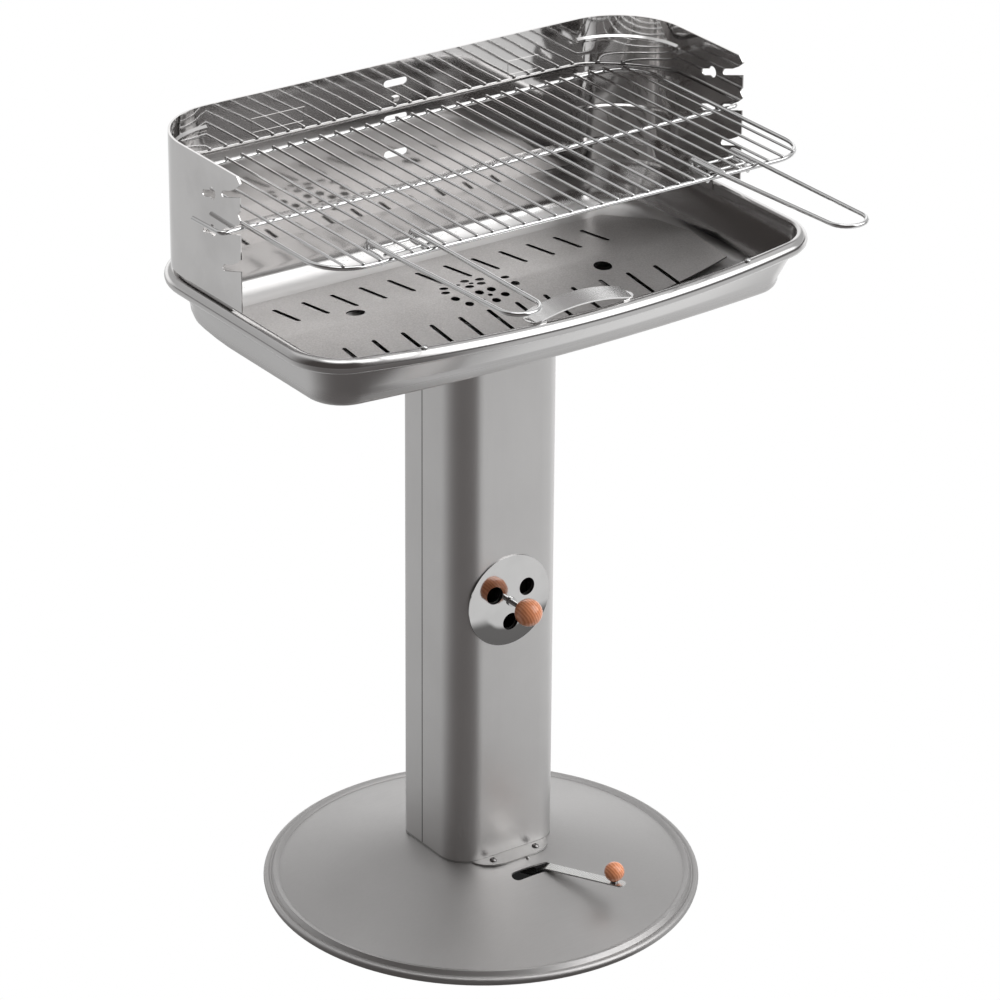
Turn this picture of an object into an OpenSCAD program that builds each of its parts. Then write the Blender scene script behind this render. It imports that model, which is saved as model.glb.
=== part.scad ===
// Garden column barbecue: round foot, sheet column, wide fire bowl, wind shield and wire grid.
// Millimetres, Z up, X to the right, the front faces minus Y, origin on the floor under the column.

/* [Foot disc] */
// Outer radius of the rolled rim
foot_r = 241; // [200:1:280]
// Radius of the rolled rim wire
rim_roll = 4; // [2:0.5:6]
// Width of the flat ring under the rim
rim_flat = 6; // [3:0.5:8]
// Sheet thickness of the foot
foot_skin = 2; // [1:0.1:3]
// Radius where the cone meets the flat top
cone_top_r = 78; // [70:1:90]
// Height of the flat top
cone_top_z = 54; // [40:1:70]
// Distance from the foot rim to the end of the cone
cone_gap = 17; // [10:1:40]
// Height where the cone ends
cone_low_z = 10; // [6:0.5:16]
// Height of the bead above the cone end
bead_rise = 1.8; // [0.5:0.1:4]
// Width of one bead flank
bead_flank = 3; // [2:0.5:5]
// Distance of the lever slot from the middle
slot_y = 95.8; // [88:0.1:110]
// Width of the lever slot
slot_w = 13; // [10:0.5:20]
// Position of the slot's left end centre
slot_from = -18; // [-30:0.5:0]
// Position of the slot's right end centre
slot_to = 21.5; // [5:0.5:40]
// Position of the stop pip along X
pip_x = 8; // [0:0.5:20]
// Distance of the stop pip from the middle
pip_y = 78.6; // [70:0.1:90]
// Diameter of the stop pip
pip_d = 4; // [2:0.5:6]
// Inner radius of the ash ports
port_in = 15; // [12:1:25]
// Outer radius of the ash ports
port_out = 44; // [30:1:50]
// Angle covered by one ash port
port_angle = 50; // [20:1:56]

/* [Lever and damper] */
// Direction of the lever at rest, from the front
lever_rest = 30; // [0:0.1:40]
// Sideways offset of the lever strip from the pivot
lever_off = 31.8; // [0:0.1:40]
// Width of the lever strip
lever_w = 13; // [8:0.5:20]
// Thickness of the lever strip
lever_t = 1.6; // [1:0.1:3]
// Height of the lever top outside
lever_z = 50; // [44:0.5:60]
// Depth of the lever's step under the cone
lever_step = 11; // [6:0.5:16]
// Distance where the lever bends level outside
bend_out = 95.5; // [90:0.5:110]
// Distance where the lever bends level inside
bend_in = 79.5; // [70:0.5:90]
// Distance of the lever's round end centre
lever_end = 182; // [150:1:210]
// Distance of the lever ball along the strip
lever_ball_r = 175; // [150:1:200]
// Diameter of the lever ball
lever_ball_d = 22; // [14:0.5:30]
// Diameter of the lever ball screw
lever_screw_d = 4; // [3:0.5:6]
// Radius of the damper disc
damper_r = 60; // [50:1:66]
// Thickness of the damper disc
damper_t = 1.5; // [1:0.1:3]
// Diameter of the pivot bolt
pivot_d = 8; // [5:0.5:12]
// Diameter of the damper hub
hub_d = 22; // [16:1:28]

/* [Ballast] */
// Width of the ballast ring
ballast_w = 88; // [50:1:110]
// Gap between the foot rim and the ballast ring
ballast_gap = 41; // [33:1:60]
// Thickness of the ballast ring
ballast_h = 9; // [5:0.5:10]
// Height of the ballast ring's underside
ballast_z = 4; // [3:0.5:8]
// Diameter of a rubber pad
pad_d = 26; // [16:1:40]
// Distance of the pads from the outer edge of the ballast ring
pad_in = 35; // [20:1:60]
// Diameter of a ballast stud
stud_d = 6; // [4:0.5:8]

/* [Column] */
// Width of the column
col_w = 140; // [110:1:170]
// Depth of the column
col_d = 110; // [90:1:140]
// Front corner radius of the column
col_front_r = 33; // [10:1:45]
// Rear corner radius of the column
col_rear_r = 14; // [6:1:30]
// Sheet thickness of the column
col_skin = 1.5; // [1:0.1:3]
// Position of the side seam from the middle
seam_y = 12.7; // [0:0.1:30]
// Lap of the rear shell inside the front shell
seam_lap = 12; // [6:1:20]
// Thickness of the foot plate
plate_t = 2; // [1.5:0.1:4]
// Half length of the foot plate tab
tab_half = 50; // [30:1:60]
// Reach of the foot plate tab beyond the column
tab_out = 21; // [14:1:30]
// Half distance of the foot screws
foot_screw_x = 28; // [15:1:40]
// Distance of the foot screws from the column
foot_screw_out = 9; // [6:0.5:14]
// Diameter of a foot screw
screw_d = 4; // [3:0.5:6]
// Diameter of a foot screw head
head_d = 8; // [6:0.5:12]
// Height of a foot screw head
head_h = 2.6; // [1.5:0.1:4]
// Width of the sheet left around the open middle of the column plates
open_rim = 18; // [12:1:40]
// Distance of the bowl bolts from the column side
bolt_in_x = 18; // [10:1:30]
// Distance of the bowl bolts from the column front
bolt_in_y = 19; // [10:1:30]
// Diameter of a bowl bolt
bolt_d = 6; // [4:0.5:8]
// Length of the nut under a bowl bolt
nut_h = 5; // [3:0.5:8]

/* [Vent] */
// Sideways position of the vent
vent_x = -4; // [-20:0.5:20]
// Height of the vent
vent_z = 363.5; // [250:0.5:500]
// Radius of the vent disc
vent_r = 52; // [40:1:60]
// Thickness of the vent disc
vent_t = 1.2; // [0.8:0.1:3]
// Dish of the vent disc
vent_dish = 3.5; // [1:0.1:8]
// Diameter of a vent hole
vent_hole = 20; // [12:0.5:26]
// Radius of the vent hole circle
vent_circle = 24; // [18:0.5:32]
// Diameter of the vent stem
stem_d = 6; // [4:0.5:8]
// Diameter of the vent ball
ball_d = 30; // [20:1:40]
// Distance of the ball centre from the middle of the column
ball_y = 92; // [80:0.5:110]

/* [Fire bowl] */
// Height of the rim flange's upper face
rim_z = 753.5; // [650:0.5:850]
// Height of the bowl's underside
bowl_z = 688; // [600:0.5:750]
// Sheet thickness of the bowl
bowl_skin = 1.5; // [1:0.1:3]
// Height of the outer skirt
skirt_h = 11; // [5:0.5:16]
// Inset of the rim's round shoulder
rim_round = 4; // [2:0.5:6]
// Width of the rim flange at the sides
rim_side = 13; // [10:0.5:20]
// Front middle of the rim flange
rim_front = -213; // [-240:1:-190]
// Bow radius of the rim flange
rim_bow = 1080; // [800:10:2000]
// Front corner radius of the rim flange
rim_corner = 64; // [40:1:90]
// Rear edge of the rim flange
rim_rear = 177; // [160:1:200]
// Half width of the bowl opening
tub_half = 304.5; // [270:0.5:340]
// Front middle of the bowl opening
tub_front = -200; // [-230:1:-180]
// Bow radius of the bowl opening
tub_bow = 1150; // [800:10:2000]
// Front corner radius of the bowl opening
tub_corner = 48; // [30:1:70]
// Rear edge of the bowl opening
tub_rear = 157.5; // [140:0.5:180]
// Rear corner radius of the bowl opening
tub_rear_r = 69.5; // [40:0.5:90]
// Inward lean of the side walls from rim to floor
low_in = 13.5; // [5:0.5:40]
// Front middle near the bowl bottom
low_front = -164; // [-200:1:-140]
// Bow radius near the bowl bottom
low_bow = 2400; // [1000:50:5000]
// Rear edge near the bowl bottom
low_rear = 155; // [130:0.5:170]
// Corner radius near the bowl bottom
low_corner = 35; // [25:1:60]
// Height of the straight upper part of the bowl wall
collar_h = 10; // [5:1:16]
// Height of the rounded lower edge of the bowl
hem_low = 7; // [4:0.5:12]
// Inset of the rounded lower edge half way
hem_mid_in = 5.5; // [2:0.5:8]
// Inset of the rounded lower edge at the bottom
hem_low_in = 14; // [8:0.5:20]
// Half distance of the rim rivets
rivet_x = 202; // [150:1:250]
// Distance of the rim rivets from the middle
rivet_y = 188; // [180:0.5:200]
// Diameter of a rim rivet head
rivet_d = 7; // [4:0.5:10]

/* [Front strap] */
// Sideways middle of the front strap
strap_x = -16; // [-40:1:40]
// Half length of the front strap
strap_half = 60; // [40:1:80]
// Rise of the front strap
strap_rise = 8.5; // [5:0.5:30]
// Width of the front strap
strap_w = 24; // [8:0.5:30]
// Thickness of the front strap
strap_t = 1.5; // [1:0.1:4]
// Distance of the strap's front edge from the column axis
strap_y = 203.5; // [195:0.5:210]
// Upward tilt of the front strap toward the rear, degrees
strap_tilt = 9; // [0:1:20]
// Length of a strap foot
strap_foot = 12; // [8:0.5:20]

/* [Charcoal grate] */
// Sideways middle of the charcoal grate
grate_x = -2; // [-20:1:20]
// Half length of the charcoal grate
grate_half = 276; // [240:1:290]
// Position of the ridge
ridge_y = 3.5; // [-20:1:20]
// Slope of both sides, degrees
grate_slope = 6.5; // [3:0.5:12]
// Sheet thickness of the charcoal grate
grate_t = 1.5; // [1:0.1:3]
// Rear edge of the charcoal grate
grate_rear = 124.5; // [90:1:130]
// Front middle of the charcoal grate
grate_front = -105.5; // [-130:1:-90]
// Bow radius of the front edge
grate_bow = 850; // [400:10:2000]
// Position of the front feet of the charcoal grate
grate_foot_y = -83.5; // [-100:1:-40]
// Rear corner cut along X
grate_cut_x = 32; // [10:1:60]
// Rear corner cut along Y
grate_cut_y = 58; // [10:1:80]
// Distance from slot to slot
slot_pitch = 35.8; // [25:0.1:50]
// First slot from the middle
slot_first = -200.5; // [-220:0.5:-180]
// Width of a grate slot
slit_w = 5; // [2:0.1:8]
// Length of a grate slot
slit_len = 52; // [30:1:70]
// Near end of the rear slots
rear_slit_y = 41.5; // [20:1:60]
// Near end of the front slots
front_slit_y = -40.5; // [-70:1:-30]
// Diameter of a finger hole
finger_d = 20; // [14:0.5:28]
// Diameter of a large grate hole
hole_big = 9.5; // [6:0.5:14]
// Diameter of a small grate hole
hole_small = 5.5; // [3:0.5:8]
// Thickness of a front foot of the grate
grate_foot = 3; // [2:0.5:6]

/* [Wind shield] */
// Reach of the wind shield beyond the bowl opening
shield_out = 10.5; // [8:0.5:12]
// Rear face of the wind shield
shield_rear = 168; // [150:0.5:190]
// Rear corner radius of the wind shield
shield_r = 80; // [50:1:100]
// Front edge of the wind shield
shield_front = -27; // [-60:1:20]
// Height of the wind shield above the bowl rim
shield_h = 152.5; // [100:0.5:200]
// Lower edge of the outer face
shield_low = 760.5; // [755:0.5:770]
// Sheet thickness of the wind shield
shield_skin = 1.2; // [0.8:0.1:2]
// Gap between the bowl wall and the wind shield's foot
shield_fit = 0.3; // [0.2:0.05:1]
// Start of the foot behind the front edge
foot_back = 34; // [20:1:60]
// Lower end of the foot inside the bowl
shield_foot = 744.5; // [740:0.5:750]
// Height of the folded hem
hem_h = 7; // [4:0.5:12]
// Drop from the shield top to the upper notch level
notch_down = 17.2; // [10:0.1:30]
// Drop from one notch level to the next
level_drop = 40; // [30:0.5:50]
// Slope of the notches, degrees
notch_slope = 17; // [5:1:30]
// Rise of a notch mouth above its level
mouth_rise = 9.5; // [4:0.5:14]
// Half height of a notch
throat_half = 3.6; // [2.8:0.1:6]
// Depth of the flared mouth
mouth_depth = 18; // [3:0.5:24]
// Depth of a notch
notch_depth = 35; // [20:1:50]
// Distance of a keyhole's round end from the front edge
keyhole_from = 53; // [48:1:60]
// Length of a keyhole behind its round end
keyhole_len = 16; // [12:1:30]
// Diameter of a keyhole's round end
keyhole_d = 12.4; // [8:0.1:16]
// Drop from the shield top to the nick
nick_down = 40.5; // [30:0.5:50]
// Half height of the nick
nick_h = 5; // [3:0.5:8]
// Depth of the nick
nick_in = 4; // [2:0.5:8]
// Width of a back slot
back_slot_w = 30; // [20:1:40]
// Height of a back slot
back_slot_h = 8; // [5:0.5:14]
// Drop from a level to its back slot
back_drop = 6.5; // [0:0.5:12]
// Drop from the shield top to the pressed tongue
lance_down = 43; // [25:0.5:60]
// Size of the lanced hook
lance = 7; // [4:0.5:12]
// Drop from a level to its corner bead
bead_drop = 8; // [4:0.5:20]
// Depth of a corner bead
bead_in = 3; // [1:0.5:5]
// Height of a corner bead
bead_h = 8; // [4:0.5:14]
// Left middle of the left blank frame
blank_left_x = -147; // [-200:1:-100]
// Drop from the shield top to the left blank frame
blank_left_down = 35.5; // [20:0.5:60]
// Middle of the right blank frame
blank_right_x = 165; // [100:1:200]
// Drop from the shield top to the right blank frame
blank_right_down = 38.5; // [20:0.5:60]
// Length of a blank frame
blank_len = 66; // [30:1:90]
// Length of the right blank frame
blank_len_b = 40; // [30:1:90]
// Height of a blank frame
blank_h = 17; // [8:0.5:24]
// Line width of a blank frame
blank_line = 1.6; // [1:0.1:3]
// Depth of a blank frame
blank_deep = 0.5; // [0.3:0.1:1]

/* [Cooking grid] */
// Sideways middle of the grid
grid_x = 0.6; // [-20:0.5:20]
// Height of the frame wire's centre
grid_z = 846; // [800:0.1:900]
// Gap between the bowl side and the frame wire
grid_in = 6; // [2:0.5:20]
// Front wire position
grid_front = -166; // [-200:0.5:-150]
// Rear wire position
grid_rear = 150.4; // [120:0.5:155]
// Cross wire position
grid_cross = -5.5; // [-20:0.1:0]
// Front corner radius of the frame wire
grid_r = 44; // [30:1:60]
// Diameter of the frame wire
wire_d = 5; // [3:0.5:8]
// Diameter of a thin wire
thin_d = 3; // [2:0.1:5]
// Number of gaps between thin wires
thin_gaps = 29; // [15:1:40]
// Distance from the frame side to the first thin wire
thin_in = 19.9; // [12:0.1:30]
// Distance from the last thin wire to the frame side
thin_out = 18.6; // [12:0.1:30]
// Depth of a weld between wires
weld = 0.5; // [0.2:0.1:1]
// Reach of the hooks beyond the wind shield
hook_out = 9.5; // [8:0.5:20]
// End of the hooks
hook_y = 46; // [10:1:60]
// Splay of the hooks
hook_splay = 1.5; // [0:0.5:8]
// Bend radius of the hooks
hook_r = 6; // [4:0.5:12]
// Handle middle from the grid middle
handle_x = 200.5; // [150:1:230]
// Half width of a handle at the grid
handle_half = 26; // [15:0.5:40]
// Half width of a handle at the tip
handle_tip_half = 21; // [12:0.5:30]
// Inner end of the handle legs
handle_in = -126.6; // [-160:1:-100]
// Middle of the tip bend
handle_tip = -346.6; // [-400:1:-300]
// Rise of the handle tip
handle_rise = 3; // [0:0.5:20]

/* [Fits] */
// Seat gap between parts that stand on each other
seat = 0.2; // [0.1:0.05:0.5]
// Radial running clearance of a turning shaft
running = 0.05; // [0.02:0.01:0.1]
// Radial clearance of a fixed screw
clear = 0.15; // [0.1:0.05:0.3]
// Cut margin beyond a face
eps = 1; // [0.5:0.5:3]

/* [Hidden] */
ballast_out = foot_r - ballast_gap;
ballast_in = ballast_out - ballast_w;
cone_low_r = foot_r - cone_gap;
bolt_x = col_w / 2 - bolt_in_x;
tab_reach = col_d / 2 + tab_out;
foot_screw_y = col_d / 2 + foot_screw_out;
bolt_y = col_d / 2 - bolt_in_y;
open_d = min(col_w, col_d) - open_rim;
pad_circle = ballast_out - pad_in;
low_half = tub_half - low_in;
grid_half = tub_half - grid_in;
thin_first = thin_in - grid_half;
thin_pitch = (grid_half * 2 - thin_in - thin_out) / thin_gaps;
shield_top = rim_z + shield_h;
level_high = shield_top - notch_down;
nick_z = shield_top - nick_down;
lance_z = shield_top - lance_down;
blank_left_z = shield_top - blank_left_down;
blank_right_z = shield_top - blank_right_down;
rim_half = tub_half + rim_side;
shield_half = tub_half + shield_out;
level_mid = level_high - level_drop;
level_low = level_mid - level_drop;
hook_x = shield_half + hook_out;
shield_step = shield_out + shield_fit;
cone_fall = (cone_top_z - cone_low_z) / (cone_low_r - cone_top_r);
rim_meet = rim_roll * 1.75;
plate_top = cone_top_z + seat + plate_t;
wall_low = plate_top + seat;
wall_top = bowl_z - seat;
lever_low = lever_z - lever_step;
damper_z = cone_top_z - foot_skin - seat - damper_t;
hub_low = lever_low + seat;
pivot_low = lever_low - lever_t - damper_t - nut_h - seat * 3;
stem_out = ball_y + ball_d / 4;
wall_out = col_d / 2;
grate_top_z = bowl_z + bowl_skin + seat + grate_t + (grate_rear - ridge_y) * tan(grate_slope);
steel = [0.72, 0.72, 0.73];
shiny = [0.85, 0.86, 0.88];
dark = [0.25, 0.25, 0.27];
oak = [0.8, 0.5, 0.3];

// points of an arc
function arc(cx, cy, r, a0, a1, n) = [for (i = [0:n]) [cx + r * cos(a0 + (a1 - a0) * i / n),
    cy + r * sin(a0 + (a1 - a0) * i / n)]];
// plan outline with a bowed front
function bowed(w, yf, rb, rc, yr, rr) = let (xc = w - rc, cy = yf + rb,
    yc = cy - sqrt((rb - rc) * (rb - rc) - xc * xc), b = asin(xc / (rb - rc)))
    concat(arc(0, cy, rb, -90 - b, -90 + b, 28), arc(xc, yc, rc, -90 + b, 0, 9),
    arc(w - rr, yr - rr, rr, 0, 90, 10), arc(rr - w, yr - rr, rr, 90, 180, 10),
    arc(-xc, yc, rc, 180, 270 - b, 9));
function rim_line(i) = bowed(rim_half - i, rim_front + i, rim_bow - i, rim_corner - i, rim_rear - i,
    tub_rear_r + rim_half - tub_half - i);
function tub_line(i) = bowed(tub_half - i, tub_front + i, tub_bow - i, tub_corner - i, tub_rear - i,
    tub_rear_r - i);
function low_line(i) = bowed(low_half - i, low_front + i, low_bow - i, low_corner - i, low_rear - i,
    low_corner - i);
// stadium of points along one direction
function stadium(len, w, a) = let (h = len / 2 - w / 2) concat(
    arc(h * cos(a), h * sin(a), w / 2, a - 90, a + 90, 6),
    arc(-h * cos(a), -h * sin(a), w / 2, a + 90, a + 270, 6));
function unit(v) = v / norm(v);
function heading(p, i, shut) = let (n = len(p), a = shut ? p[(i + n - 1) % n] : p[max(i - 1, 0)],
    b = shut ? p[(i + 1) % n] : p[min(i + 1, n - 1)]) unit(b - a);
function ring(c, t, r, k) = let (s = unit(cross(t, [0, 0, 1])), u = cross(s, t))
    [for (j = [0:k - 1]) c + r * (cos(j * 360 / k) * s + sin(j * 360 / k) * u)];

// bent wire along a list of points
module wire(p, r, k, shut) {
    n = len(p);
    pts = [for (i = [0:n - 1]) each ring(p[i], heading(p, i, shut), r, k)];
    last = shut ? n - 1 : n - 2;
    sides = [for (i = [0:last]) for (j = [0:k - 1])
        [i * k + j, i * k + (j + 1) % k, ((i + 1) % n) * k + (j + 1) % k, ((i + 1) % n) * k + j]];
    caps = shut ? [] : [[for (j = [0:k - 1]) k - 1 - j], [for (j = [0:k - 1]) (n - 1) * k + j]];
    polyhedron(points = pts, faces = concat(sides, caps), convexity = 6);
}

module column_line(i) {
    w = col_w / 2 - i;
    d = col_d / 2 - i;
    f = col_front_r - i;
    b = col_rear_r - i;
    translate([-w, f - d]) square([w * 2, d * 2 - f - b]);
    translate([f - w, -d]) square([(w - f) * 2, d]);
    translate([b - w, 0]) square([(w - b) * 2, d]);
    for (s = [-1, 1]) {
        translate([s * (w - f), f - d]) circle(r = f, $fn = 96);
        translate([s * (w - b), d - b]) circle(r = b, $fn = 64);
    }
}

module column_band(i, t) {
    difference() {
        column_line(i);
        column_line(i + t);
    }
}

module shield_line(i) {
    w = shield_half - i;
    r = shield_r - i;
    translate([-w, shield_front]) square([w * 2, shield_rear - shield_r - shield_front]);
    translate([shield_r - shield_half, 0]) square([(shield_half - shield_r) * 2, shield_rear - i]);
    for (s = [-1, 1]) translate([s * (shield_half - shield_r), shield_rear - shield_r])
        circle(r = r, $fn = 128);
}

module shield_band(i, t) {
    difference() {
        shield_line(i);
        shield_line(i + t);
        translate([-(shield_half - i - t), shield_front - eps])
            square([(shield_half - i - t) * 2, eps * 2]);
    }
}

module ash_ports() {
    for (k = [0:2]) rotate(k * 120 + 90 - port_angle / 2)
        polygon(concat(arc(0, 0, port_out, 0, port_angle, 8), arc(0, 0, port_in, port_angle, 0, 5)));
}

module foot_disc() {
    color(steel) difference() {
        rotate_extrude($fn = 180) polygon(concat([[0, cone_top_z], [cone_top_r, cone_top_z],
            [cone_low_r, cone_low_z], [cone_low_r + bead_flank, cone_low_z + bead_rise],
            [cone_low_r + bead_flank * 2, cone_low_z + bead_rise], [cone_low_r + bead_flank * 3, rim_meet]],
            arc(foot_r - rim_roll, rim_roll, rim_roll, 180 - asin(rim_meet / rim_roll - 1),
            -acos(rim_flat / rim_roll / 2), 14),
            [[foot_r - rim_roll + rim_flat / 2, 0], [foot_r - rim_roll - rim_flat / 2, 0]],
            arc(foot_r - rim_roll, rim_roll, rim_roll, acos(rim_flat / rim_roll / 2) - 180,
            -180 - asin((rim_meet - foot_skin) / rim_roll - 1), 5),
            [[cone_low_r + bead_flank * 3 - foot_skin / 2, rim_meet - foot_skin],
            [cone_low_r + bead_flank * 2 - foot_skin / 2, cone_low_z + bead_rise - foot_skin],
            [cone_low_r + bead_flank, cone_low_z + bead_rise - foot_skin],
            [cone_low_r, cone_low_z - foot_skin], [cone_top_r, cone_top_z - foot_skin],
            [0, cone_top_z - foot_skin]]));
        translate([0, 0, cone_top_z - foot_skin - eps]) linear_extrude(foot_skin + eps * 2) ash_ports();
        translate([0, 0, cone_top_z - foot_skin - eps])
            cylinder(d = pivot_d + running * 2, h = foot_skin + eps * 2, $fn = 48);
        for (sx = [-1, 1]) for (sy = [-1, 1])
            translate([sx * foot_screw_x, sy * foot_screw_y, cone_top_z - foot_skin - eps])
            cylinder(d = screw_d + clear * 2, h = foot_skin + eps * 2, $fn = 32);
        translate([(slot_from + slot_to) / 2, -slot_y, cone_low_z]) linear_extrude(cone_top_z)
            polygon(stadium(slot_to - slot_from + slot_w, slot_w, 0));
    }
    color(steel) translate([pip_x, -pip_y, cone_top_z]) sphere(d = pip_d, $fn = 32);
}

module foot_plate() {
    color(steel) translate([0, 0, cone_top_z + seat]) difference() {
        linear_extrude(plate_t) difference() {
            union() {
                column_line(0);
                for (s = [0, 180]) rotate(s) polygon([for (q = [[-1, 0.62], [-0.95, 0.78], [-0.84, 0.88],
                    [-0.66, 0.96], [-0.4, 1], [0.4, 1], [0.66, 0.96], [0.84, 0.88], [0.95, 0.78], [1, 0.62]])
                    [q[0] * tab_half, -q[1] * tab_reach]]);
            }
            circle(d = open_d, $fn = 96);
            for (sx = [-1, 1]) for (sy = [-1, 1])
                translate([sx * foot_screw_x, sy * foot_screw_y]) circle(d = screw_d + clear * 2, $fn = 32);
        }
    }
}

module foot_screw(sx, sy) {
    color(shiny) translate([sx * foot_screw_x, sy * foot_screw_y, plate_top + seat]) {
        difference() {
            intersection() {
                cylinder(d = head_d, h = head_h, $fn = 40);
                translate([0, 0, head_h - head_d * 0.62]) sphere(d = head_d * 1.24, $fn = 48);
            }
            translate([0, 0, head_h / 2]) cylinder(d = head_d * 0.42, h = head_h, $fn = 6);
        }
        translate([0, 0, -plate_t - foot_skin - nut_h])
            cylinder(d = screw_d, h = plate_t + foot_skin + nut_h + head_h / 4, $fn = 32);
    }
}
module foot_screw_fl() { foot_screw(-1, -1); }
module foot_screw_fr() { foot_screw(1, -1); }
module foot_screw_rl() { foot_screw(-1, 1); }
module foot_screw_rr() { foot_screw(1, 1); }

module vent_ports() {
    for (a = [30, 150, 270]) translate([vent_circle * cos(a), vent_circle * sin(a), 0])
        cylinder(d = vent_hole, h = col_skin + eps * 2, $fn = 48);
}

module column_front() {
    color(steel) difference() {
        translate([0, 0, wall_low]) linear_extrude(wall_top - wall_low) intersection() {
            column_band(0, col_skin);
            translate([-col_w, -col_d]) square([col_w * 2, col_d + seam_y]);
        }
        translate([vent_x, -wall_out + col_skin + eps, vent_z]) rotate([90, 0, 0]) {
            vent_ports();
            cylinder(d = stem_d + running * 2, h = col_skin + eps * 2, $fn = 48);
        }
    }
}

module column_rear() {
    join = seam_y + seat;
    lap = col_skin + seat;
    color(steel) translate([0, 0, wall_low]) linear_extrude(wall_top - wall_low) {
        intersection() {
            column_band(0, col_skin);
            translate([-col_w, join]) square([col_w * 2, col_d]);
        }
        intersection() {
            column_band(0, lap + col_skin);
            translate([-col_w, join]) square([col_w * 2, seam_lap / 4]);
        }
        intersection() {
            column_band(lap, col_skin);
            translate([-col_w, join - seam_lap]) square([col_w * 2, seam_lap + seam_lap / 4]);
        }
    }
}

module column_top() {
    color(steel) translate([0, 0, wall_top - plate_t]) linear_extrude(plate_t) difference() {
        column_line(col_skin * 2 + seat * 2);
        circle(d = open_d, $fn = 96);
        for (sx = [-1, 1]) for (sy = [-1, 1])
            translate([sx * bolt_x, sy * bolt_y]) circle(d = bolt_d + clear * 2, $fn = 32);
    }
}

module bowl_bolt(sx, sy) {
    low = wall_top - plate_t - seat - nut_h;
    color(shiny) translate([sx * bolt_x, sy * bolt_y, 0]) {
        translate([0, 0, low]) cylinder(d = bolt_d, h = bowl_z + bowl_skin + seat + head_h - low, $fn = 32);
        translate([0, 0, bowl_z + bowl_skin + seat]) cylinder(d = bolt_d * 2, h = head_h, $fn = 40);
        translate([0, 0, low]) cylinder(d = bolt_d * 1.8, h = nut_h, $fn = 6);
    }
}
module bowl_bolt_fl() { bowl_bolt(-1, -1); }
module bowl_bolt_fr() { bowl_bolt(1, -1); }
module bowl_bolt_rl() { bowl_bolt(-1, 1); }
module bowl_bolt_rr() { bowl_bolt(1, 1); }

module at_vent() {
    translate([vent_x, -wall_out, vent_z]) rotate([90, 0, 0]) children();
}

module vent_disc() {
    color(shiny) at_vent() translate([0, 0, seat]) difference() {
        rotate_extrude($fn = 120) polygon([[stem_d / 2 + clear, vent_dish], [vent_r * 0.3, vent_dish * 0.93],
            [vent_r * 0.6, vent_dish * 0.68], [vent_r * 0.85, vent_dish * 0.32], [vent_r, 0],
            [vent_r, vent_t], [vent_r * 0.85, vent_dish * 0.32 + vent_t],
            [vent_r * 0.6, vent_dish * 0.68 + vent_t], [vent_r * 0.3, vent_dish * 0.93 + vent_t],
            [stem_d / 2 + clear, vent_dish + vent_t]]);
        for (a = [30, 150, 270]) translate([vent_circle * cos(a), vent_circle * sin(a), -eps])
            cylinder(d = vent_hole, h = vent_dish + vent_t + eps * 2, $fn = 48);
    }
}

module vent_stem() {
    color(shiny) at_vent() {
        inside = col_skin + seat * 2 + vent_t * 2 + nut_h * 1.6;
        translate([0, 0, -inside]) cylinder(d = stem_d, h = stem_out - wall_out + inside, $fn = 40);
        translate([0, 0, vent_dish + vent_t + seat * 2])
            cylinder(d = stem_d * 1.7, h = vent_t * 2, $fn = 40);
    }
}

module vent_ball() {
    color(oak) at_vent() difference() {
        translate([0, 0, ball_y - wall_out]) sphere(d = ball_d, $fn = 72);
        cylinder(d = stem_d + clear * 2, h = stem_out - wall_out + seat, $fn = 40);
        cylinder(d = stem_d * 1.7, h = ball_y - wall_out - ball_d * 0.46, $fn = 40);
    }
}

module vent_washer() {
    color(shiny) at_vent() translate([0, 0, -col_skin - seat - vent_t]) difference() {
        cylinder(d = stem_d * 3, h = vent_t, $fn = 48);
        translate([0, 0, -eps]) cylinder(d = stem_d + clear * 2, h = vent_t + eps * 2, $fn = 40);
    }
}

module vent_spring() {
    color(shiny) at_vent() translate([0, 0, -col_skin - seat * 2 - vent_t * 2]) difference() {
        cylinder(d = stem_d * 2, h = vent_t, $fn = 48);
        translate([0, 0, -eps]) cylinder(d = stem_d + clear * 2, h = vent_t + eps * 2, $fn = 40);
    }
}

module vent_nut() {
    color(shiny) at_vent() translate([0, 0, -col_skin - seat * 3 - vent_t * 2 - nut_h]) difference() {
        cylinder(d = stem_d * 1.9, h = nut_h, $fn = 6);
        translate([0, 0, -eps]) cylinder(d = stem_d + clear * 2, h = nut_h + eps * 2, $fn = 40);
    }
}

module at_lever(z) {
    rotate(lever_rest) translate([-lever_off, 0, z]) children();
}

module lever_arm() {
    t = lever_t;
    w = lever_w / 2;
    color(shiny) difference() {
        union() {
            at_lever(0) translate([w, 0, 0]) rotate([90, 0, -90]) linear_extrude(lever_w)
                polygon([[bend_in - lever_w, lever_low], [bend_in, lever_low], [bend_out, lever_z],
                [lever_end, lever_z], [lever_end, lever_z - t], [bend_out + t / 2, lever_z - t],
                [bend_in + t / 2, lever_low - t], [bend_in - lever_w, lever_low - t]]);
            at_lever(lever_z - t) translate([0, -lever_end, 0]) cylinder(d = lever_w, h = t, $fn = 48);
            at_lever(lever_low - t) linear_extrude(t) polygon([[-w, -bend_in], [w, -bend_in],
                [lever_off + w, 0], [lever_off - w, 0], [-w, lever_w - bend_in]]);
            translate([0, 0, lever_low - t]) cylinder(d = hub_d, h = t, $fn = 64);
        }
        translate([0, 0, lever_low - t - eps])
            cylinder(d = pivot_d + running * 2, h = t + eps * 2, $fn = 48);
        at_lever(lever_z - t - eps) translate([0, -lever_ball_r, 0])
            cylinder(d = lever_screw_d + clear * 2, h = t + eps * 2, $fn = 32);
    }
}

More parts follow.
